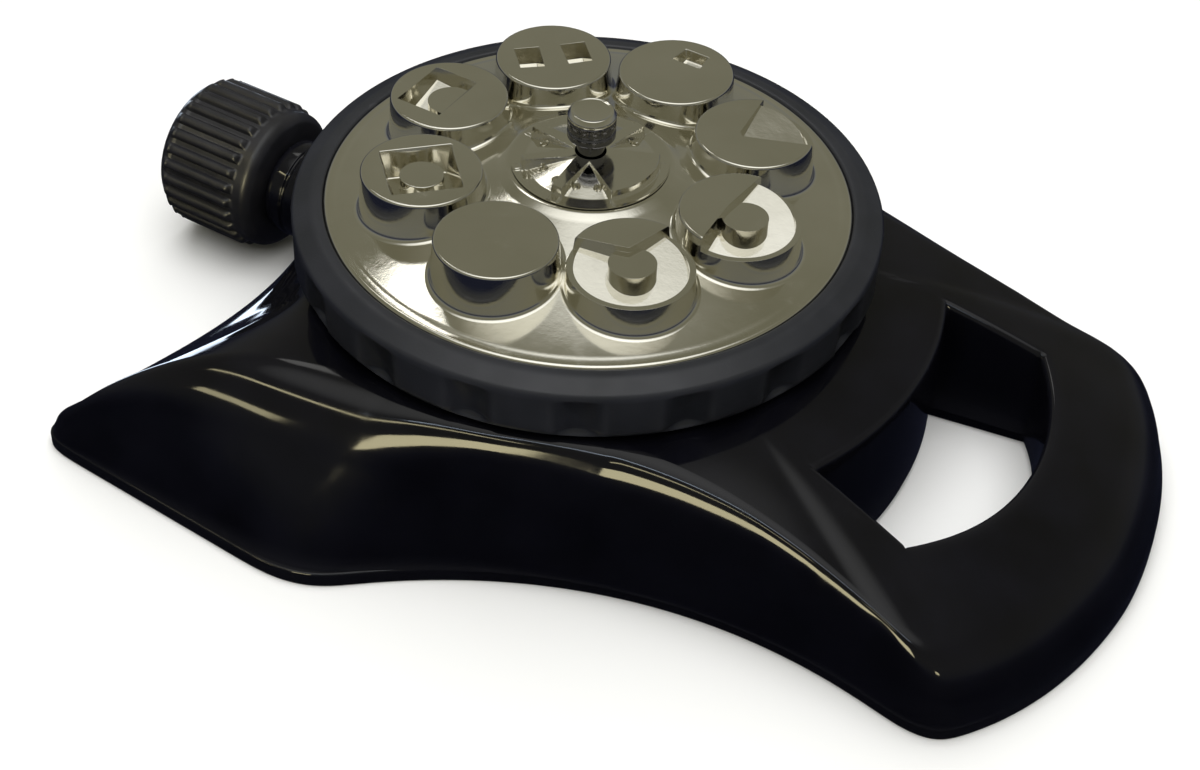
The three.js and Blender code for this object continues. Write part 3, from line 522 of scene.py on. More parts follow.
def warped(angle, radius, edge_r):
    """Bends the station lines so that two of them run along the sides of the finger hole."""
    size = abs(angle)
    if size < side_angle:
        share = size / side_angle
    else:
        share = 1 - smoothstep(size, side_angle, side_angle * WARP_END)
    inner_r = HOLE_INNER_R - HOLE_ROUND
    outer_r = math.hypot(HOLE_CORNER_X, HOLE_CORNER_Y) + HOLE_ROUND
    fade = smoothstep(radius, PLATFORM_R, inner_r) * (1 - smoothstep(radius, outer_r, edge_r))
    return angle + math.copysign(1, angle) * (hole_side_angle(radius) - side_angle) * share * fade


def arc_radius(angle):
    """Radius of the hole's outer arc at a bearing, opened by the rounding of its top edge."""
    reach = hole_arc_r + HOLE_ROUND
    return hole_arc_x * math.cos(angle) + math.sqrt(reach**2 - (hole_arc_x * math.sin(angle)) ** 2)


def round_sizes(angle):
    """How far the brow's rounding reaches over the top and down the side at a bearing."""
    from_hose = 180 - math.degrees(abs(angle))
    wide = RAMP_ROUND + (SIDE_ROUND - RAMP_ROUND) * smoothstep(from_hose, *RAMP_ENDS_DEG)
    wide += (HANDLE_ROUND - SIDE_ROUND) * smoothstep(from_hose, *HANDLE_STARTS_DEG)
    steep = smoothstep(from_hose, *STEEP_STARTS_DEG) * (1 - smoothstep(from_hose, *STEEP_ENDS_DEG))
    return wide, wide * (1.2 + 1.1 * steep)


INNER_R = float(mm_box("thrust_washer")[1][0]) + 2 * GAP
RINGS_IN = [INNER_R, 20, 34, 46, 54, 58.5]
RING_STEPS = (9, 18, 12)
ROUND_STEPS = 9
SIDE_STEPS = 12
SIDE_BULGE = 0.7
FULL_BULGE_DROP = 25.0


def ring_marks(angle, start_r):
    """Radii that the rings of a station keep to: platform, hole's inner and outer edge, rounding."""
    size = abs(angle)
    inner_r = HOLE_INNER_R - HOLE_ROUND
    outer_r = arc_radius(min(size, side_angle) * hole_side_angle(SIDE_MID_R) / side_angle)
    if size > side_angle:
        side_start_r = brow_radius[side_index] - round_sizes(side_angle)[0]
        scale = (start_r - PLATFORM_R) / (side_start_r - PLATFORM_R)
        inner_r = PLATFORM_R + (inner_r - PLATFORM_R) * scale
        outer_r = PLATFORM_R + (outer_r - PLATFORM_R) * scale
    return [PLATFORM_R, inner_r, outer_r, start_r]


def base_station(i):
    """A line of points from the middle over the brow's rounding and down the side."""
    angle = brow_angle[i]
    edge, low = brow[i], foot[i]
    drop = np.linalg.norm(edge - low)
    above_rim = (edge[2] - SHELL_LOW_Z) / edge[2]
    lowest = edge + (low - edge) * above_rim
    wide, down = round_sizes(angle)
    wide = min(wide, (brow_radius[i] - PLATFORM_R) * 0.85)
    down = min(down, drop * (0.42 if down < 13 else 0.6), drop * above_rim * 0.8)
    start_r = brow_radius[i] - wide
    marks = ring_marks(angle, start_r)
    radii = list(RINGS_IN)
    for start, end, steps in zip(marks, marks[1:], RING_STEPS):
        radii += list(np.linspace(start, end, steps, endpoint=False))
    radii.append(start_r)
    points = []
    for radius in radii:
        bearing = warped(angle, radius, start_r) if radius > PLATFORM_R else angle
        points.append((radius * math.cos(bearing), radius * math.sin(bearing), top_height(radius, bearing)))
    first = np.array(points[-1])
    side = edge + (low - edge) * down / drop
    for k in range(1, ROUND_STEPS + 1):
        t = k / ROUND_STEPS
        points.append(first * (1 - t) ** 2 + edge * 2 * t * (1 - t) + side * t * t)
    outward = np.array([math.cos(angle), math.sin(angle), 0])
    for k in range(1, SIDE_STEPS + 1):
        t = k / SIDE_STEPS
        bulge = SIDE_BULGE * math.sin(math.pi * t) * min(1, drop / FULL_BULGE_DROP)
        points.append(side + (lowest - side) * t + outward * bulge)
    return points


HOLE_STEPS = 5
SHELL_SHARP = 55


def build_base():
    """The glossy shell: its top and sides as a grid, open at the finger hole, then given a wall."""
    lines = [base_station(i) for i in range(stations)]
    rings = len(lines[0])
    vertices = [lines[c][r] for r in range(rings) for c in range(stations)]
    hole_low = len(RINGS_IN) + RING_STEPS[0]
    hole_high = hole_low + RING_STEPS[1]
    other_index = (stations - side_index) % stations
    low_c, high_c = min(side_index, other_index), max(side_index, other_index)

    def keep(r, c):
        return not (hole_low <= r < hole_high and low_c <= c < high_c)

    faces = grid_faces(rings, stations, True, keep)
    # walk round the hole's edge and carry it over a rounding and down its wall
    loop = [(hole_low, c) for c in range(low_c, high_c)]
    loop += [(r, high_c) for r in range(hole_low, hole_high)]
    loop += [(hole_high, c) for c in range(high_c, low_c, -1)]
    loop += [(r, low_c) for r in range(hole_high, hole_low, -1)]
    edge = np.array([vertices[r * stations + c] for r, c in loop], float)
    count = len(edge)
    centre = np.array([(HOLE_INNER_R + HOLE_OUTER_X) / 2, 0])
    previous = [r * stations + c for r, c in loop]
    before = np.roll(edge, 1, axis=0)
    after = np.roll(edge, -1, axis=0)
    along = after - before
    inward = np.stack([-along[:, 1], along[:, 0]], axis=1)
    inward /= np.linalg.norm(inward, axis=1)[:, None]
    flip = np.sign(np.sum(inward * (centre - edge[:, :2]), axis=1))
    inward *= np.where(flip == 0, 1, flip)[:, None]
    levels = []
    for k in range(1, HOLE_STEPS + 1):
        turn = math.pi / 2 * k / HOLE_STEPS
        levels.append((HOLE_ROUND * math.sin(turn), HOLE_ROUND * (1 - math.cos(turn)), 0.0))
    for k in range(1, HOLE_STEPS + 1):
        levels.append((HOLE_ROUND, HOLE_ROUND, k / HOLE_STEPS))
    for inset, drop, share in levels:
        start = len(vertices)
        for p, n in zip(edge, inward):
            z = (p[2] - drop) * (1 - share) + SHELL_LOW_Z * share
            vertices.append((p[0] + n[0] * inset, p[1] + n[1] * inset, z))
        for k in range(count):
            j = (k + 1) % count
            faces.append((previous[k], previous[j], start + j, start + k))
        previous = list(range(start, start + count))
    piece = new_piece(
        "base_shell_skin", vertices, faces, gloss_black, "base", nodes=["base_top_shell"], slot="gloss_black",
        sharp=SHELL_SHARP,
    )
    solidify = piece.modifiers.new("wall", "SOLIDIFY")
    solidify.thickness = WALL * MM
    solidify.offset = -1
    solidify.use_rim = True
    apply_modifiers(piece)
    smooth(piece, SHELL_SHARP)


def hole_points(grow, count=24):
    """The finger hole in plan, made wider by grow."""
    arc_half = math.asin(HOLE_CORNER_Y / hole_arc_r)
    points = []
    for k in range(count + 1):
        angle = inner_side_angle * (1 - 2 * k / count) * (1 + grow / HOLE_INNER_Y)
        points.append(((HOLE_INNER_R - grow) * math.cos(angle), (HOLE_INNER_R - grow) * math.sin(angle)))
    for k in range(count + 1):
        angle = arc_half * (2 * k / count - 1) * (1 + grow / HOLE_CORNER_Y)
        reach = hole_arc_r + grow
        points.append((hole_arc_x + reach * math.cos(angle), reach * math.sin(angle)))
    return points


COVER_INSET = 0.7
COVER_EDGE = 0.5


def plan_curve(name, outlines, low_z, high_z, bevel):
    """A flat plate between two heights from closed outlines, with small rounded edges."""
    curve = bpy.data.curves.new(name, "CURVE")
    curve.dimensions = "2D"
    curve.fill_mode = "BOTH"
    curve.extrude = (high_z - low_z) / 2 * MM - bevel * MM
    curve.bevel_depth = bevel * MM
    curve.bevel_resolution = 3
    curve.offset = -bevel * MM
    for outline in outlines:
        spline = curve.splines.new("POLY")
        spline.points.add(len(outline) - 1)
        for point, (x, y) in zip(spline.points, outline):
            point.co = (x * MM, y * MM, 0, 1)
        spline.use_cyclic_u = True
    holder = bpy.data.objects.new(name + "_curve", curve)
    bpy.context.scene.collection.objects.link(holder)
    mesh = bpy.data.meshes.new_from_object(holder.evaluated_get(bpy.context.evaluated_depsgraph_get()))
    bpy.data.objects.remove(holder)
    mesh.name = name
    mesh.transform(Matrix.Translation((0, 0, (low_z + high_z) / 2 * MM)))
    piece = bpy.data.objects.new(name, mesh)
    bpy.context.scene.collection.objects.link(piece)
    return piece


def build_cover():
    """The bottom plate just inside the shell's foot; its thin rim in sight has the shell's gloss."""
    normal = np.roll(foot, -1, axis=0) - np.roll(foot, 1, axis=0)
    normal = np.stack([normal[:, 1], -normal[:, 0]], axis=1)
    normal /= np.linalg.norm(normal, axis=1)[:, None]
    outlines = [foot[:, :2] + normal * COVER_INSET, hole_points(COVER_INSET)]
    for k in range(1, 7):
        low, high = mm_box(f"cover_screw_{k}")
        x, y = (low[0] + high[0]) / 2, (low[1] + high[1]) / 2
        outlines.append(circle(x, y, (high[0] - low[0]) / 2 + GAP))
    piece = plan_curve("base_cover_plate", outlines, float(cover_low[2]), float(cover_high[2]), COVER_EDGE)
    piece.data.materials.clear()
    piece.data.materials.append(gloss_black)
    smooth(piece, 40)
    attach(piece, "base")
    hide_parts("base_bottom_cover")


build_base()
build_cover()

# ---- hose inlet ----
collar_in = -float(collar_high[0])
collar_out = -float(collar_low[0])
collar_r = float(collar_high[2] - collar_low[2]) / 2
socket_r = float(washer_high[2] - washer_low[2]) / 2 + GAP
neck_r = 9.2
bore_r = 5.2
spigot_r = 6.5
stem_r = float(stem_high[2] - stem_low[2]) / 2
COLLAR_RIBS = 28
COLLAR_ROWS = 72
RIB_HIGH = 1.3
RIB_HALF_WIDE = 0.33
INNER_BAND = 4.6
OUTER_BAND = 1.6
BACK_ROUND = 2.5
RIM_ROUND = 3.5
SOCKET_DEEP = 17
THREAD_PITCH = 2.2
THREAD_DEEP = 0.45
THREAD_STEPS = 8


def build_collar():
    """The swivel nut: a body with round-ended ribs between a plain inner band and a rounded rim."""
    segments = COLLAR_RIBS * 14
    root_r = collar_r - RIB_HIGH
    rib_from, rib_to = collar_in + INNER_BAND, collar_out - OUTER_BAND
    rows = []
    for k in range(COLLAR_ROWS + 1):
        x = collar_in + (collar_out - collar_in) * k / COLLAR_ROWS
        near, far = x - collar_in, collar_out - x
        base_r = root_r
        if near < BACK_ROUND:
            base_r = root_r - 1.9 * (1 - near / BACK_ROUND) ** 2
        if far < RIM_ROUND:
            base_r = root_r + 0.3 - 3.0 * (1 - math.sqrt(max(0, 1 - (1 - far / RIM_ROUND) ** 2)))
        row = []
        for s in range(segments):
            phase = s / segments * COLLAR_RIBS % 1
            across = abs(phase - 0.5) / RIB_HALF_WIDE
            end = min(1, max(0, (x - rib_from) / 1.5)) * min(1, max(0, (rib_to - x) / 3.0))
            rise = math.sqrt(max(0.0, 1 - min(1.0, across) ** 2)) ** 0.8 * math.sin(end * math.pi / 2)
            radius = base_r + RIB_HIGH * rise
            angle = TAU * s / segments
            row.append((radius * math.cos(angle), radius * math.sin(angle), x))
        rows.append(row)
    inner = [(socket_r + 1.6, collar_out), (socket_r + 0.9, collar_out - 0.3), (socket_r, collar_out - 1.2)]
    thread_from, thread_to = collar_out - 2.0, collar_out - 13.0
    for k in range(int((thread_from - thread_to) / THREAD_PITCH * THREAD_STEPS) + 1):
        ridge = 0.5 - 0.5 * math.cos(TAU * k / THREAD_STEPS)
        inner.append((socket_r - THREAD_DEEP * ridge, thread_from - THREAD_PITCH * k / THREAD_STEPS))
    socket_end = collar_out - SOCKET_DEEP
    inner += [(socket_r, thread_to - 0.6), (socket_r, socket_end)]
    inner += [(neck_r + GAP, socket_end), (neck_r + GAP, collar_in)]
    rows += [turned(radius, x, segments) for radius, x in inner]
    rows.append(rows[0])
    points = on_inlet([p for row in rows for p in row])
    new_piece(
        "inlet_collar_nut", points, grid_faces(len(rows), segments), satin_black, "collar",
        nodes=["inlet_collar"], slot="satin_black", sharp=50,
    )


build_collar()
stem_end = -float(stem_low[0])
stem_in = -float(stem_high[0])
shoulder = -HOSE_END_X + 0.2
retainer_low, retainer_high = mm_box("collar_retaining_ring")
groove_from, groove_to = -float(retainer_high[0]) - GAP, -float(retainer_low[0]) + GAP
groove_r = neck_r - 0.9
line_r = stem_r - 0.35
stem_profile = softened([
    (bore_r, stem_in), (spigot_r, stem_in), (spigot_r, shoulder),
    (stem_r + 2.0, shoulder), (stem_r + 1.6, shoulder + 2.2), (stem_r, shoulder + 4.2),
    (stem_r, shoulder + 8.2), (line_r, shoulder + 8.5), (line_r, shoulder + 9.1), (stem_r, shoulder + 9.4),
    (stem_r, collar_in - 1.6), (stem_r - 1.2, collar_in - GAP), (neck_r, collar_in - GAP),
    (neck_r, groove_from), (groove_r, groove_from), (groove_r, groove_to), (neck_r, groove_to),
    (neck_r, stem_end), (bore_r, stem_end), (bore_r, stem_in),
], 0.6)
lathe(
    "inlet_stem_pipe", stem_profile, 128, gloss_black, "base", along_inlet=True, nodes=["inlet_stem"],
    slot="gloss_black", sharp=45,
)

# ---- dial ----
DIAL_R = float(dial_high[0])
RIM_Z = 51.4
DOME_TOP_Z = float(rose_low[2]) - GAP
HUB_R = float(rose_high[0])
BUTTON_TOP_Z = float(dial_high[2])
BUTTON_R = 12.9
BUTTON_RING_R = 36.3
BUTTON_DRAFT = 0.5
BUTTON_EDGE = 0.6
BUTTON_COVE = 1.3
PLATE_THICK = 2.2
SKIRT_THICK = 2.4
BOLT_HOLE_R = 3.4


def dome_z(radius):
    """Height of the dial's face, which rises from its rim to the hub."""
    t = min(1.0, max(0.0, (DIAL_R - radius) / (DIAL_R - HUB_R)))
    return RIM_Z + (DOME_TOP_Z - RIM_Z) * t**1.25


def build_dome():
    """The domed face with its rolled rim, skirt and hollow underside."""
    skirt_low = float(grip_low[2]) + 1.5
    outer = [(DIAL_R, skirt_low), (DIAL_R, RIM_Z - 1.0), (DIAL_R - 0.12, RIM_Z - 0.45)]
    outer += [(DIAL_R - 0.5, RIM_Z - 0.05), (DIAL_R - 1.0, RIM_Z + 0.06), (DIAL_R - 1.7, RIM_Z - 0.02)]
    top = [(r, dome_z(r)) for r in np.linspace(DIAL_R - 2.6, HUB_R + 2.5, 40)]
    hub = [(HUB_R + 1.2, dome_z(HUB_R + 1.2) + 0.25), (HUB_R + 0.4, DOME_TOP_Z + 0.1)]
    hub += [(HUB_R - 1, DOME_TOP_Z), (BOLT_HOLE_R, DOME_TOP_Z), (BOLT_HOLE_R, DOME_TOP_Z - PLATE_THICK)]
    under = [(r, dome_z(r) - PLATE_THICK) for r in np.linspace(HUB_R, DIAL_R - SKIRT_THICK, 12)]
    profile = outer + top + hub + under + [(DIAL_R - SKIRT_THICK, skirt_low), (DIAL_R, skirt_low)]
    lathe("dial_dome", profile, 256, chrome, "dial", nodes=["dial_face"], slot="chrome", sharp=40)


def button_mesh(angle):
    """A raised button whose wall runs down in a cove to the dome, as vertices and faces."""
    segments = 96
    centre = np.array([BUTTON_RING_R * math.cos(angle), BUTTON_RING_R * math.sin(angle)])
    columns = []
    for s in range(segments):
        turn = TAU * s / segments
        out = np.array([math.cos(turn), math.sin(turn)])

        def dome_at(reach, out=out):
            return dome_z(float(np.hypot(*(centre + out * reach))))

        wall_r = BUTTON_R + BUTTON_DRAFT
        low_z = dome_at(wall_r)
        far = wall_r + BUTTON_COVE
        column = []
        for k in range(5):
            a = math.pi / 2 * k / 4
            inset, fallen = BUTTON_EDGE * (1 - math.sin(a)), BUTTON_EDGE * (1 - math.cos(a))
            column.append((BUTTON_R - inset, BUTTON_TOP_Z - fallen))
        start = np.array([wall_r, low_z + BUTTON_COVE])
        corner = np.array([wall_r, low_z])
        end = np.array([far, dome_at(far) - 0.02])
        for k in range(9):
            t = k / 8
            column.append(tuple(start * (1 - t) ** 2 + corner * 2 * t * (1 - t) + end * t * t))
        column.append((far, dome_at(far) - 1.2))
        column.append((wall_r - 1.5, RIM_Z - 2.6))
        columns.append([(*(centre + out * r), z) for r, z in column])
    rows = len(columns[0])
    vertices = [columns[s][r] for r in range(rows) for s in range(segments)]
    faces = grid_faces(rows, segments)
    faces.append(tuple(range(segments))[::-1])
    faces.append(tuple(range((rows - 1) * segments, rows * segments)))
    return vertices, faces


def prism_piece(outline, low_z, high_z, taper=0.0, fall=(0.0, 0.0), about=(0.0, 0.0)):
    """A temporary solid to cut with: a taper draws its foot in, and the foot slopes down along fall."""
    outline = np.array(outline, float)
    middle = outline.mean(axis=0)
    foot_line = middle + (outline - middle) * (1 - taper)
    slope = (foot_line - np.array(about)) @ np.array(fall)
    count = len(outline)
    vertices = [(x, y, low_z - drop) for (x, y), drop in zip(foot_line, slope)]
    vertices += [(x, y, high_z) for x, y in outline]
    faces = [(k, (k + 1) % count, count + (k + 1) % count, count + k) for k in range(count)]
    faces += [tuple(range(count))[::-1], tuple(range(count, 2 * count))]
    mesh = bpy.data.meshes.new("cutter")
    mesh.from_pydata([tuple(np.array(p) * MM) for p in vertices], [], faces)
    bm = bmesh.new()
    bm.from_mesh(mesh)
    bmesh.ops.recalc_face_normals(bm, faces=bm.faces)
    bm.to_mesh(mesh)
    bm.free()
    cutter = bpy.data.objects.new("cutter", mesh)
    bpy.context.scene.collection.objects.link(cutter)
    return cutter


def boolean(piece, tool, operation="DIFFERENCE"):
    """Cuts a piece with a temporary solid, which is then gone."""
    modifier = piece.modifiers.new("cut", "BOOLEAN")
    modifier.operation = operation
    modifier.solver = "EXACT"
    modifier.object = tool
    apply_modifiers(piece)
    bpy.data.objects.remove(tool)


def bevelled(piece, width, angle=34.0):
    """Breaks the sharp edges of a cut piece and evens out its shading."""
    modifier = piece.modifiers.new("edge", "BEVEL")
    modifier.width = width * MM
    modifier.segments = 2
    modifier.limit_method = "ANGLE"
    modifier.angle_limit = math.radians(angle)
    modifier.use_clamp_overlap = True
    modifier.miter_outer = "MITER_ARC"
    apply_modifiers(piece)
    smooth(piece, 60)
    weighted = piece.modifiers.new("normals", "WEIGHTED_NORMAL")
    weighted.keep_sharp = True
    weighted.weight = 80


def wedge(half_deg, start_u, reach=24.0, mouth=0.8, centre_deg=0.0):
    """An outline that opens outwards from start_u, half_deg to each side of centre_deg."""
    steps = 12
    points = [(start_u, -mouth), (start_u, mouth)]
    for k in range(steps, -1, -1):
        angle = math.radians(centre_deg + half_deg * (2 * k / steps - 1))
        points.append((start_u + reach * math.cos(angle), reach * math.sin(angle)))
    return points


# pockets of each nozzle, from the one over the port and counter-clockwise, in (outwards, round)
# coordinates about the button's centre. cuts: outline, depth and taper of each pocket; pin: place
# and radius of the post left standing; fall: how steeply the floor falls along each axis. With a
# lip, the pocket stops short of the button's wall, which is cut down to LIP_Z.
DEEP = 5.0
LIP_Z = BUTTON_TOP_Z - 3.2
LIP_R = BUTTON_R - 1.1
PIN_TOP_Z = BUTTON_TOP_Z - 1.3
NOZZLE_EDGE = 0.22
ABOVE = 2.0
nozzles = [
    dict(cuts=[(wedge(86, -2.8), 4.4, 0.0)], pin=(1.3, 0.0, 4.9), lip=True, fall=(0.14, -0.22)),
    dict(cuts=[(wedge(39, -3.0, centre_deg=14), 3.6, 0.0)], lip=True, fall=(0.04, -0.26)),
    dict(cuts=[([(3.6, -4.2), (9.2, -3.4), (9.2, 3.0), (3.6, 3.8)], DEEP, 0.25)], fall=(-0.3, 0.0)),
    dict(cuts=[([(-3.8, 2.6), (4.6, 2.2), (4.8, 8.4), (-3.4, 8.4)], DEEP, 0.25),
               ([(-3.8, -2.6), (4.6, -2.2), (4.8, -8.4), (-3.4, -8.4)], DEEP, 0.25)], fall=(-0.3, 0.0)),
    dict(cuts=[([(-2.8, -7.9), (8.8, -7.9), (8.8, 7.9), (-2.8, 7.9)], DEEP, 0.2)], pin=(-0.6, 0.0, 5.2),
         fall=(-0.1, 0.25)),
    dict(cuts=[([(-8.2, -8.2), (8.2, -8.2), (8.2, 8.2), (-8.2, 8.2)], DEEP, 0.22)], pin=(0.0, 0.0, 4.7),
         fall=(0.0, -0.2)),
    dict(cuts=[]),
    dict(cuts=[(wedge(119, -2.8, mouth=0.2), 4.4, 0.0)], pin=(0.6, 0.0, 5.0), lip=True, fall=(0.25, 0.0)),
]


def build_button(index, spec):
    """One raised nozzle with its pockets cut in and its edges broken."""
    angle = TAU * index / len(nozzles)
    vertices, faces = button_mesh(angle)
    name = f"dial_nozzle_{index + 1}"
    piece = new_piece(name, vertices, faces, chrome, None, sharp=40)
    turn = np.array([[math.cos(angle), -math.sin(angle)], [math.sin(angle), math.cos(angle)]])

    def placed(outline):
        return (turn @ (np.array(outline) + (BUTTON_RING_R, 0)).T).T

    if "lip" in spec:
        lip = prism_piece(placed(spec["cuts"][0][0]), LIP_Z, BUTTON_TOP_Z + ABOVE)
        boolean(lip, prism_piece(placed(circle(0, 0, LIP_R, 64)), LIP_Z - 1, BUTTON_TOP_Z + ABOVE + 1))
        boolean(piece, lip)
    for outline, depth, taper in spec["cuts"]:
        low_z = BUTTON_TOP_Z - depth
        fall = turn @ np.array(spec["fall"])
        centre = placed([(0, 0)])[0]
        tool = prism_piece(placed(outline), low_z, BUTTON_TOP_Z + ABOVE, taper, fall, centre)
        if "lip" in spec:
            inside = prism_piece(placed(circle(0, 0, LIP_R, 64)), 0, BUTTON_TOP_Z + ABOVE + 1)
            boolean(tool, inside, "INTERSECT")
        if "pin" in spec:
            u, v, radius = spec["pin"]
            boolean(tool, prism_piece(placed(circle(u, v, radius, 40)), low_z - 3, PIN_TOP_Z))
        boolean(piece, tool)
    bevelled(piece, NOZZLE_EDGE)
    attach(piece, "dial")
    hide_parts("dial_face")


build_dome()
for index, spec in enumerate(nozzles):
    build_button(index, spec)

# ---- centre rose: broad petals between notches that open outwards, two jets in each notch ----
ROSE_TOP_Z = float(rose_high[2]) - 0.4
ROSE_RIM_Z = float(rose_low[2]) + 0.6
NOTCH_BEARINGS = [50, 100, 150, -62, -112, -160]
NOTCH_SPREAD = 0.52
NOTCH_TIP_R = 3.8
NOTCH_FOOT_R = 14.0
NOTCH_FLOOR_Z = float(rose_low[2]) + 0.2
JET_RING_R = 10.8
JET_R = 0.9
JET_SIDE_DEG = 12
ROSE_COLUMNS = 720


def rose_height(radius, angle):
    """Height of the rose's face: flat petals, notches that fall outwards, jets and a low rim."""
    z = ROSE_TOP_Z + (ROSE_RIM_Z - ROSE_TOP_Z) * smoothstep(radius, HUB_R - 2.3, HUB_R - 1.9)
    for bearing in NOTCH_BEARINGS:
        away = (math.degrees(angle) - bearing + 180) % 360 - 180
        if abs(away) > 30:
            continue
        along = radius * math.cos(math.radians(away))
        aside = radius * abs(math.sin(math.radians(away)))
        inside = smoothstep((along - NOTCH_TIP_R) * NOTCH_SPREAD - aside, 0.0, 0.3)
        fallen = min(1.0, max(0.0, (radius - NOTCH_TIP_R) / (NOTCH_FOOT_R - NOTCH_TIP_R)))
        floor_z = ROSE_TOP_Z - 0.25 + (NOTCH_FLOOR_Z - ROSE_TOP_Z + 0.25) * fallen
        z += (min(z, floor_z) - z) * inside
        side = abs(away) - JET_SIDE_DEG
        from_jet = math.hypot(radius - JET_RING_R, JET_RING_R * math.radians(side))
        z += (NOTCH_FLOOR_Z - 0.25 - z) * (1 - smoothstep(from_jet, JET_R - 0.2, JET_R)) * inside
    return z


def build_rose():
    """The rose's face as a grid of heights, closed by its rim, flat underside and bolt hole."""
    low = float(rose_low[2])
    radii = [BOLT_HOLE_R, *np.arange(3.7, HUB_R - 2.4, 0.22), *np.arange(HUB_R - 2.35, HUB_R - 1.8, 0.1)]
    radii += [HUB_R - 1.2, HUB_R - 0.35, HUB_R - 0.1]
    angles = [TAU * k / ROSE_COLUMNS for k in range(ROSE_COLUMNS)]
    rows = [[(r, a, rose_height(r, a)) for a in angles] for r in radii]
    for radius, z in ((HUB_R, ROSE_RIM_Z - 0.3), (HUB_R, low), (BOLT_HOLE_R, low)):
        rows.append([(radius, a, min(z, rose_height(radius, a))) for a in angles])
    rows.append(rows[0])
    points = [(r * math.cos(a), r * math.sin(a), z) for row in rows for r, a, z in row]
    new_piece(
        "rose_disc", points, grid_faces(len(rows), ROSE_COLUMNS), chrome, "dial", nodes=["centre_rose"],
        slot="chrome", sharp=32,
    )


build_rose()

# ---- pivot bolt and cap ----
BOLT_R = 3.0
BOLT_HEAD_R = float(bolt_high[0])
CAP_LOW_Z = float(cap_high[2]) - 1.7
HEAD_LOW_Z = 66.4
bolt_profile = softened([
    (0, float(bolt_low[2])), (BOLT_R, float(bolt_low[2])),
    (BOLT_R, HEAD_LOW_Z), (BOLT_HEAD_R - 0.3, HEAD_LOW_Z),
    (BOLT_HEAD_R, HEAD_LOW_Z + 0.5), (BOLT_HEAD_R, HEAD_LOW_Z + 1.9), (BOLT_HEAD_R - 0.25, HEAD_LOW_Z + 2.1),
    (BOLT_HEAD_R - 0.25, HEAD_LOW_Z + 2.5), (BOLT_HEAD_R, HEAD_LOW_Z + 2.7), (BOLT_HEAD_R, CAP_LOW_Z - GAP),
    (0, CAP_LOW_Z - GAP),
], 0.15, 3)
lathe("pivot_bolt_post", bolt_profile, 96, dark_steel, "base", nodes=["pivot_bolt"], slot="steel", sharp=50)
cap_top = float(cap_high[2])
cap_profile = softened([
    (0, CAP_LOW_Z - GAP), (BOLT_HEAD_R - 0.1, CAP_LOW_Z - GAP), (BOLT_HEAD_R + 0.1, CAP_LOW_Z + 0.5),
    (BOLT_HEAD_R - 0.75, cap_top - 0.15), (BOLT_HEAD_R - 1.3, cap_top - 0.35), (0, cap_top - 0.5),
], 0.25, 4)
lathe("pivot_cap_disc", cap_profile, 96, chrome, "base", nodes=["pivot_cap"], slot="chrome", sharp=60)

# ---- grip ring ----
GRIP_R = float(grip_high[1])
GRIP_LOW_Z = float(grip_low[2])
SCALLOPS = 18
SCALLOP_DEEP = 2.1


def build_grip():
    """The rubber sleeve round the dial, with hollows for the fingers below its rounded top."""
    crease_z = RIM_Z - 1.6
    lip_z, lip_low_z = RIM_Z + 0.1, RIM_Z - 2.0
    segments = SCALLOPS * 24
    lip_r = DIAL_R + 0.05
    inner_r = lip_r + 0.25
    profile = softened([
        (lip_r, lip_low_z), (lip_r, lip_z), (lip_r + 2.5, lip_z), (GRIP_R - 0.5, crease_z),
        (GRIP_R, crease_z - 1.2), (GRIP_R, GRIP_LOW_Z + 2.0), (GRIP_R - 1.4, GRIP_LOW_Z),
        (inner_r, GRIP_LOW_Z), (inner_r, lip_low_z), (lip_r, lip_low_z),
    ], 0.9, 5)
    rows = []
    for radius, z in profile:
        row = []
        for s in range(segments):
            angle = TAU * s / segments
            hollow = max(0.0, math.cos(angle * SCALLOPS)) ** 1.3
            outside = smoothstep(radius, GRIP_R - 2.5, GRIP_R - 0.2)
            level = smoothstep(crease_z - z, 0.8, 3.2) * smoothstep(z - GRIP_LOW_Z, 0.2, 2.0)
            r = radius - SCALLOP_DEEP * hollow * outside * level
            row.append((r * math.cos(angle), r * math.sin(angle), z))
        rows.append(row)
    points = [p for row in rows for p in row]
    new_piece(
        "grip_ring_sleeve", points, grid_faces(len(rows), segments), grip_rubber, "dial", nodes=["grip_ring"],
        slot="grip_rubber", sharp=50,
    )


build_grip()

# ---- the port seal's spring, drawn as a coil at its CAD length; the real one shortens as the seal is pressed down ----
SPRING_TURNS = 6
SPRING_WIRE_R = 0.5
SPRING_AROUND = 12
SPRING_STEPS = SPRING_TURNS * 32


def build_spring():
    low, high = mm_box("port_spring")
    centre_x, centre_y = (low[0] + high[0]) / 2, (low[1] + high[1]) / 2
    coil_r = (high[0] - low[0]) / 2 - SPRING_WIRE_R
    first, last = low[2] + SPRING_WIRE_R, high[2] - SPRING_WIRE_R
    points = []
    for k in range(SPRING_STEPS + 1):
        angle = TAU * SPRING_TURNS * k / SPRING_STEPS
        z = first + (last - first) * k / SPRING_STEPS
        for aside, lift in circle(0, 0, SPRING_WIRE_R, SPRING_AROUND):
            reach = coil_r + aside
            points.append((centre_x + reach * math.cos(angle), centre_y + reach * math.sin(angle), z + lift))
    faces = grid_faces(SPRING_STEPS + 1, SPRING_AROUND)
    faces.append(tuple(range(SPRING_AROUND))[::-1])
    faces.append(tuple(range(SPRING_STEPS * SPRING_AROUND, (SPRING_STEPS + 1) * SPRING_AROUND)))
    piece = new_piece("port_seal_spring", points, faces, steel, "base", nodes=["port_spring"], slot="steel")
    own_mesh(piece)


build_spring()

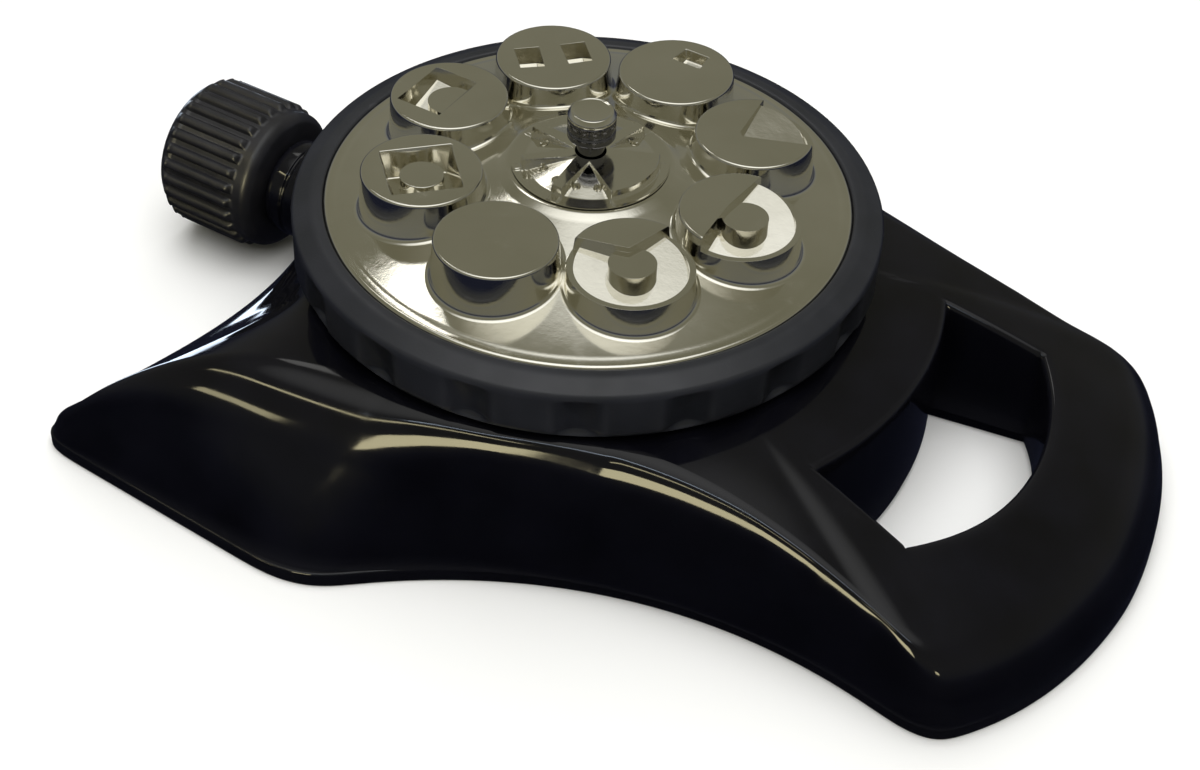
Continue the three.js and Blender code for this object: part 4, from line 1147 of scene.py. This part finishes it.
# ---- floor, light and camera ----
FLOOR_HALF = 4.0
floor_mesh = bpy.data.meshes.new("floor")
corners = [(-FLOOR_HALF, -FLOOR_HALF, 0), (FLOOR_HALF, -FLOOR_HALF, 0)]
corners += [(FLOOR_HALF, FLOOR_HALF, 0), (-FLOOR_HALF, FLOOR_HALF, 0)]
floor_mesh.from_pydata(corners, [], [(0, 1, 2, 3)])
floor = bpy.data.objects.new("floor", floor_mesh)
bpy.context.scene.collection.objects.link(floor)
floor_mesh.materials.append(material(
    "pale_floor",
    lambda t: mottle(t, grey(0.86), grey(0.88), 3),
    lambda t: mottle(t, grey(0.75), grey(0.85), 30),
    lambda t: [(noise(t, 400), 0.02, 0.1)],
))
# the pale floor isn't mirrored, so the glossy sides stay as dark as in a dark room
floor.visible_glossy = False

STUDIO_R = 1.2


def studio_light(name, bearing, height_deg, wide, tall, radiance, colour, reflected, only_on=None):
    """A rectangular light aimed at the part, either only for its reflection or only to light things."""
    data = bpy.data.lights.new(name, "AREA")
    data.energy = radiance * math.pi * wide * tall
    data.color = colour
    data.shape = "RECTANGLE"
    data.size = wide
    data.size_y = tall
    lamp = bpy.data.objects.new(name, data)
    turn, rise = math.radians(bearing), math.radians(height_deg)
    flat = math.cos(rise) * STUDIO_R
    lamp.location = (flat * math.cos(turn), flat * math.sin(turn), STUDIO_R * math.sin(rise))
    lamp.rotation_euler = (-lamp.location).to_track_quat("-Z", "Y").to_euler()
    lamp.visible_glossy = reflected
    lamp.visible_diffuse = not reflected
    lamp.visible_camera = False
    bpy.context.scene.collection.objects.link(lamp)
    if only_on:
        lamp.light_linking.receiver_collection = only_on


# the bright boxes and strips that the black plastic mirrors are kept off the chrome, which mirrors
# only dome_box and the room
plastic = bpy.data.collections.new("plastic")
for piece in list(bpy.context.scene.collection.objects):
    if piece.type == "MESH" and piece.name.startswith(("base_", "inlet_")):
        plastic.objects.link(piece)
WARM = (1.0, 0.90, 0.55)
COOL = (0.72, 0.84, 1.0)
WHITE = (1.0, 0.99, 0.96)
studio_light("room_key", -60, 72, 1.2, 1.2, 2.6, grey(1.0), False)
studio_light("room_back", 120, 60, 1.2, 1.2, 1.6, grey(1.0), False)
studio_light("band_box", -84, 19, 0.34, 0.34, 16.0, WARM, True, plastic)
studio_light("corner_box", -38, 12, 0.14, 0.10, 14.0, WARM, True, plastic)
studio_light("wing_box", -114, 20, 0.22, 0.10, 10.0, WARM, True, plastic)
studio_light("band_strip", -112, 49, 1.0, 0.05, 12.0, WARM, True, plastic)
studio_light("crease_strip", -78, 60, 0.8, 0.05, 10.0, COOL, True, plastic)
studio_light("dome_box", 141, 52, 0.22, 0.14, 2.0, WHITE, True)
studio_light("ramp_box", 141, -14, 0.55, 0.30, 5.0, COOL, True, plastic)

world = bpy.data.worlds.new("studio")
world.use_nodes = True
bpy.context.scene.world = world
sky = world.node_tree
direction = node(sky, "ShaderNodeTexCoord").outputs["Generated"]
height = node(sky, "ShaderNodeSeparateXYZ", {"Vector": direction}).outputs["Z"]
full_span = {"Value": height, "From Min": -1.0, "From Max": 1.0}
level = node(sky, "ShaderNodeMapRange", full_span).outputs["Result"]
room_colour = ramp(sky, level, [
    (0.0, (0.010, 0.011, 0.020)), (0.42, (0.012, 0.014, 0.026)), (0.50, (0.05, 0.055, 0.08)),
    (0.58, (0.16, 0.165, 0.16)), (0.70, (0.20, 0.195, 0.15)), (0.88, (0.16, 0.155, 0.11)),
    (0.93, (0.24, 0.235, 0.19)), (0.955, (0.9, 0.9, 0.85)), (1.0, (1.4, 1.4, 1.35)),
])
seen = node(sky, "ShaderNodeLightPath").outputs["Is Camera Ray"]
shown = mix_colour(sky, seen, room_colour, grey(0.92))
background = sky.nodes["Background"]
sky.links.new(shown, background.inputs["Color"])
background.inputs["Strength"].default_value = 1.0

# the camera that was fitted to the photo
LENS = 66.0
SENSOR_WIDTH = 36.0
CAMERA_PLACE = Vector((0.1915, -0.3277, 0.3384))
CAMERA_AIM = Vector((-0.3669, 0.6453, -0.6700)).normalized()
CAMERA_ROLL = math.radians(2.92)
right = CAMERA_AIM.cross(Vector((0, 0, 1))).normalized()
upward = right.cross(CAMERA_AIM)
rolled_right = right * math.cos(CAMERA_ROLL) + upward * math.sin(CAMERA_ROLL)
rolled_up = upward * math.cos(CAMERA_ROLL) - right * math.sin(CAMERA_ROLL)
camera_data = bpy.data.cameras.new("camera")
camera_data.lens = LENS
camera_data.sensor_width = SENSOR_WIDTH
camera = bpy.data.objects.new("camera", camera_data)
camera.matrix_world = Matrix((
    (rolled_right.x, rolled_up.x, -CAMERA_AIM.x, CAMERA_PLACE.x),
    (rolled_right.y, rolled_up.y, -CAMERA_AIM.y, CAMERA_PLACE.y),
    (rolled_right.z, rolled_up.z, -CAMERA_AIM.z, CAMERA_PLACE.z),
    (0, 0, 0, 1),
))
bpy.context.scene.collection.objects.link(camera)
bpy.context.scene.camera = camera
bpy.context.scene.view_settings.view_transform = "Standard"
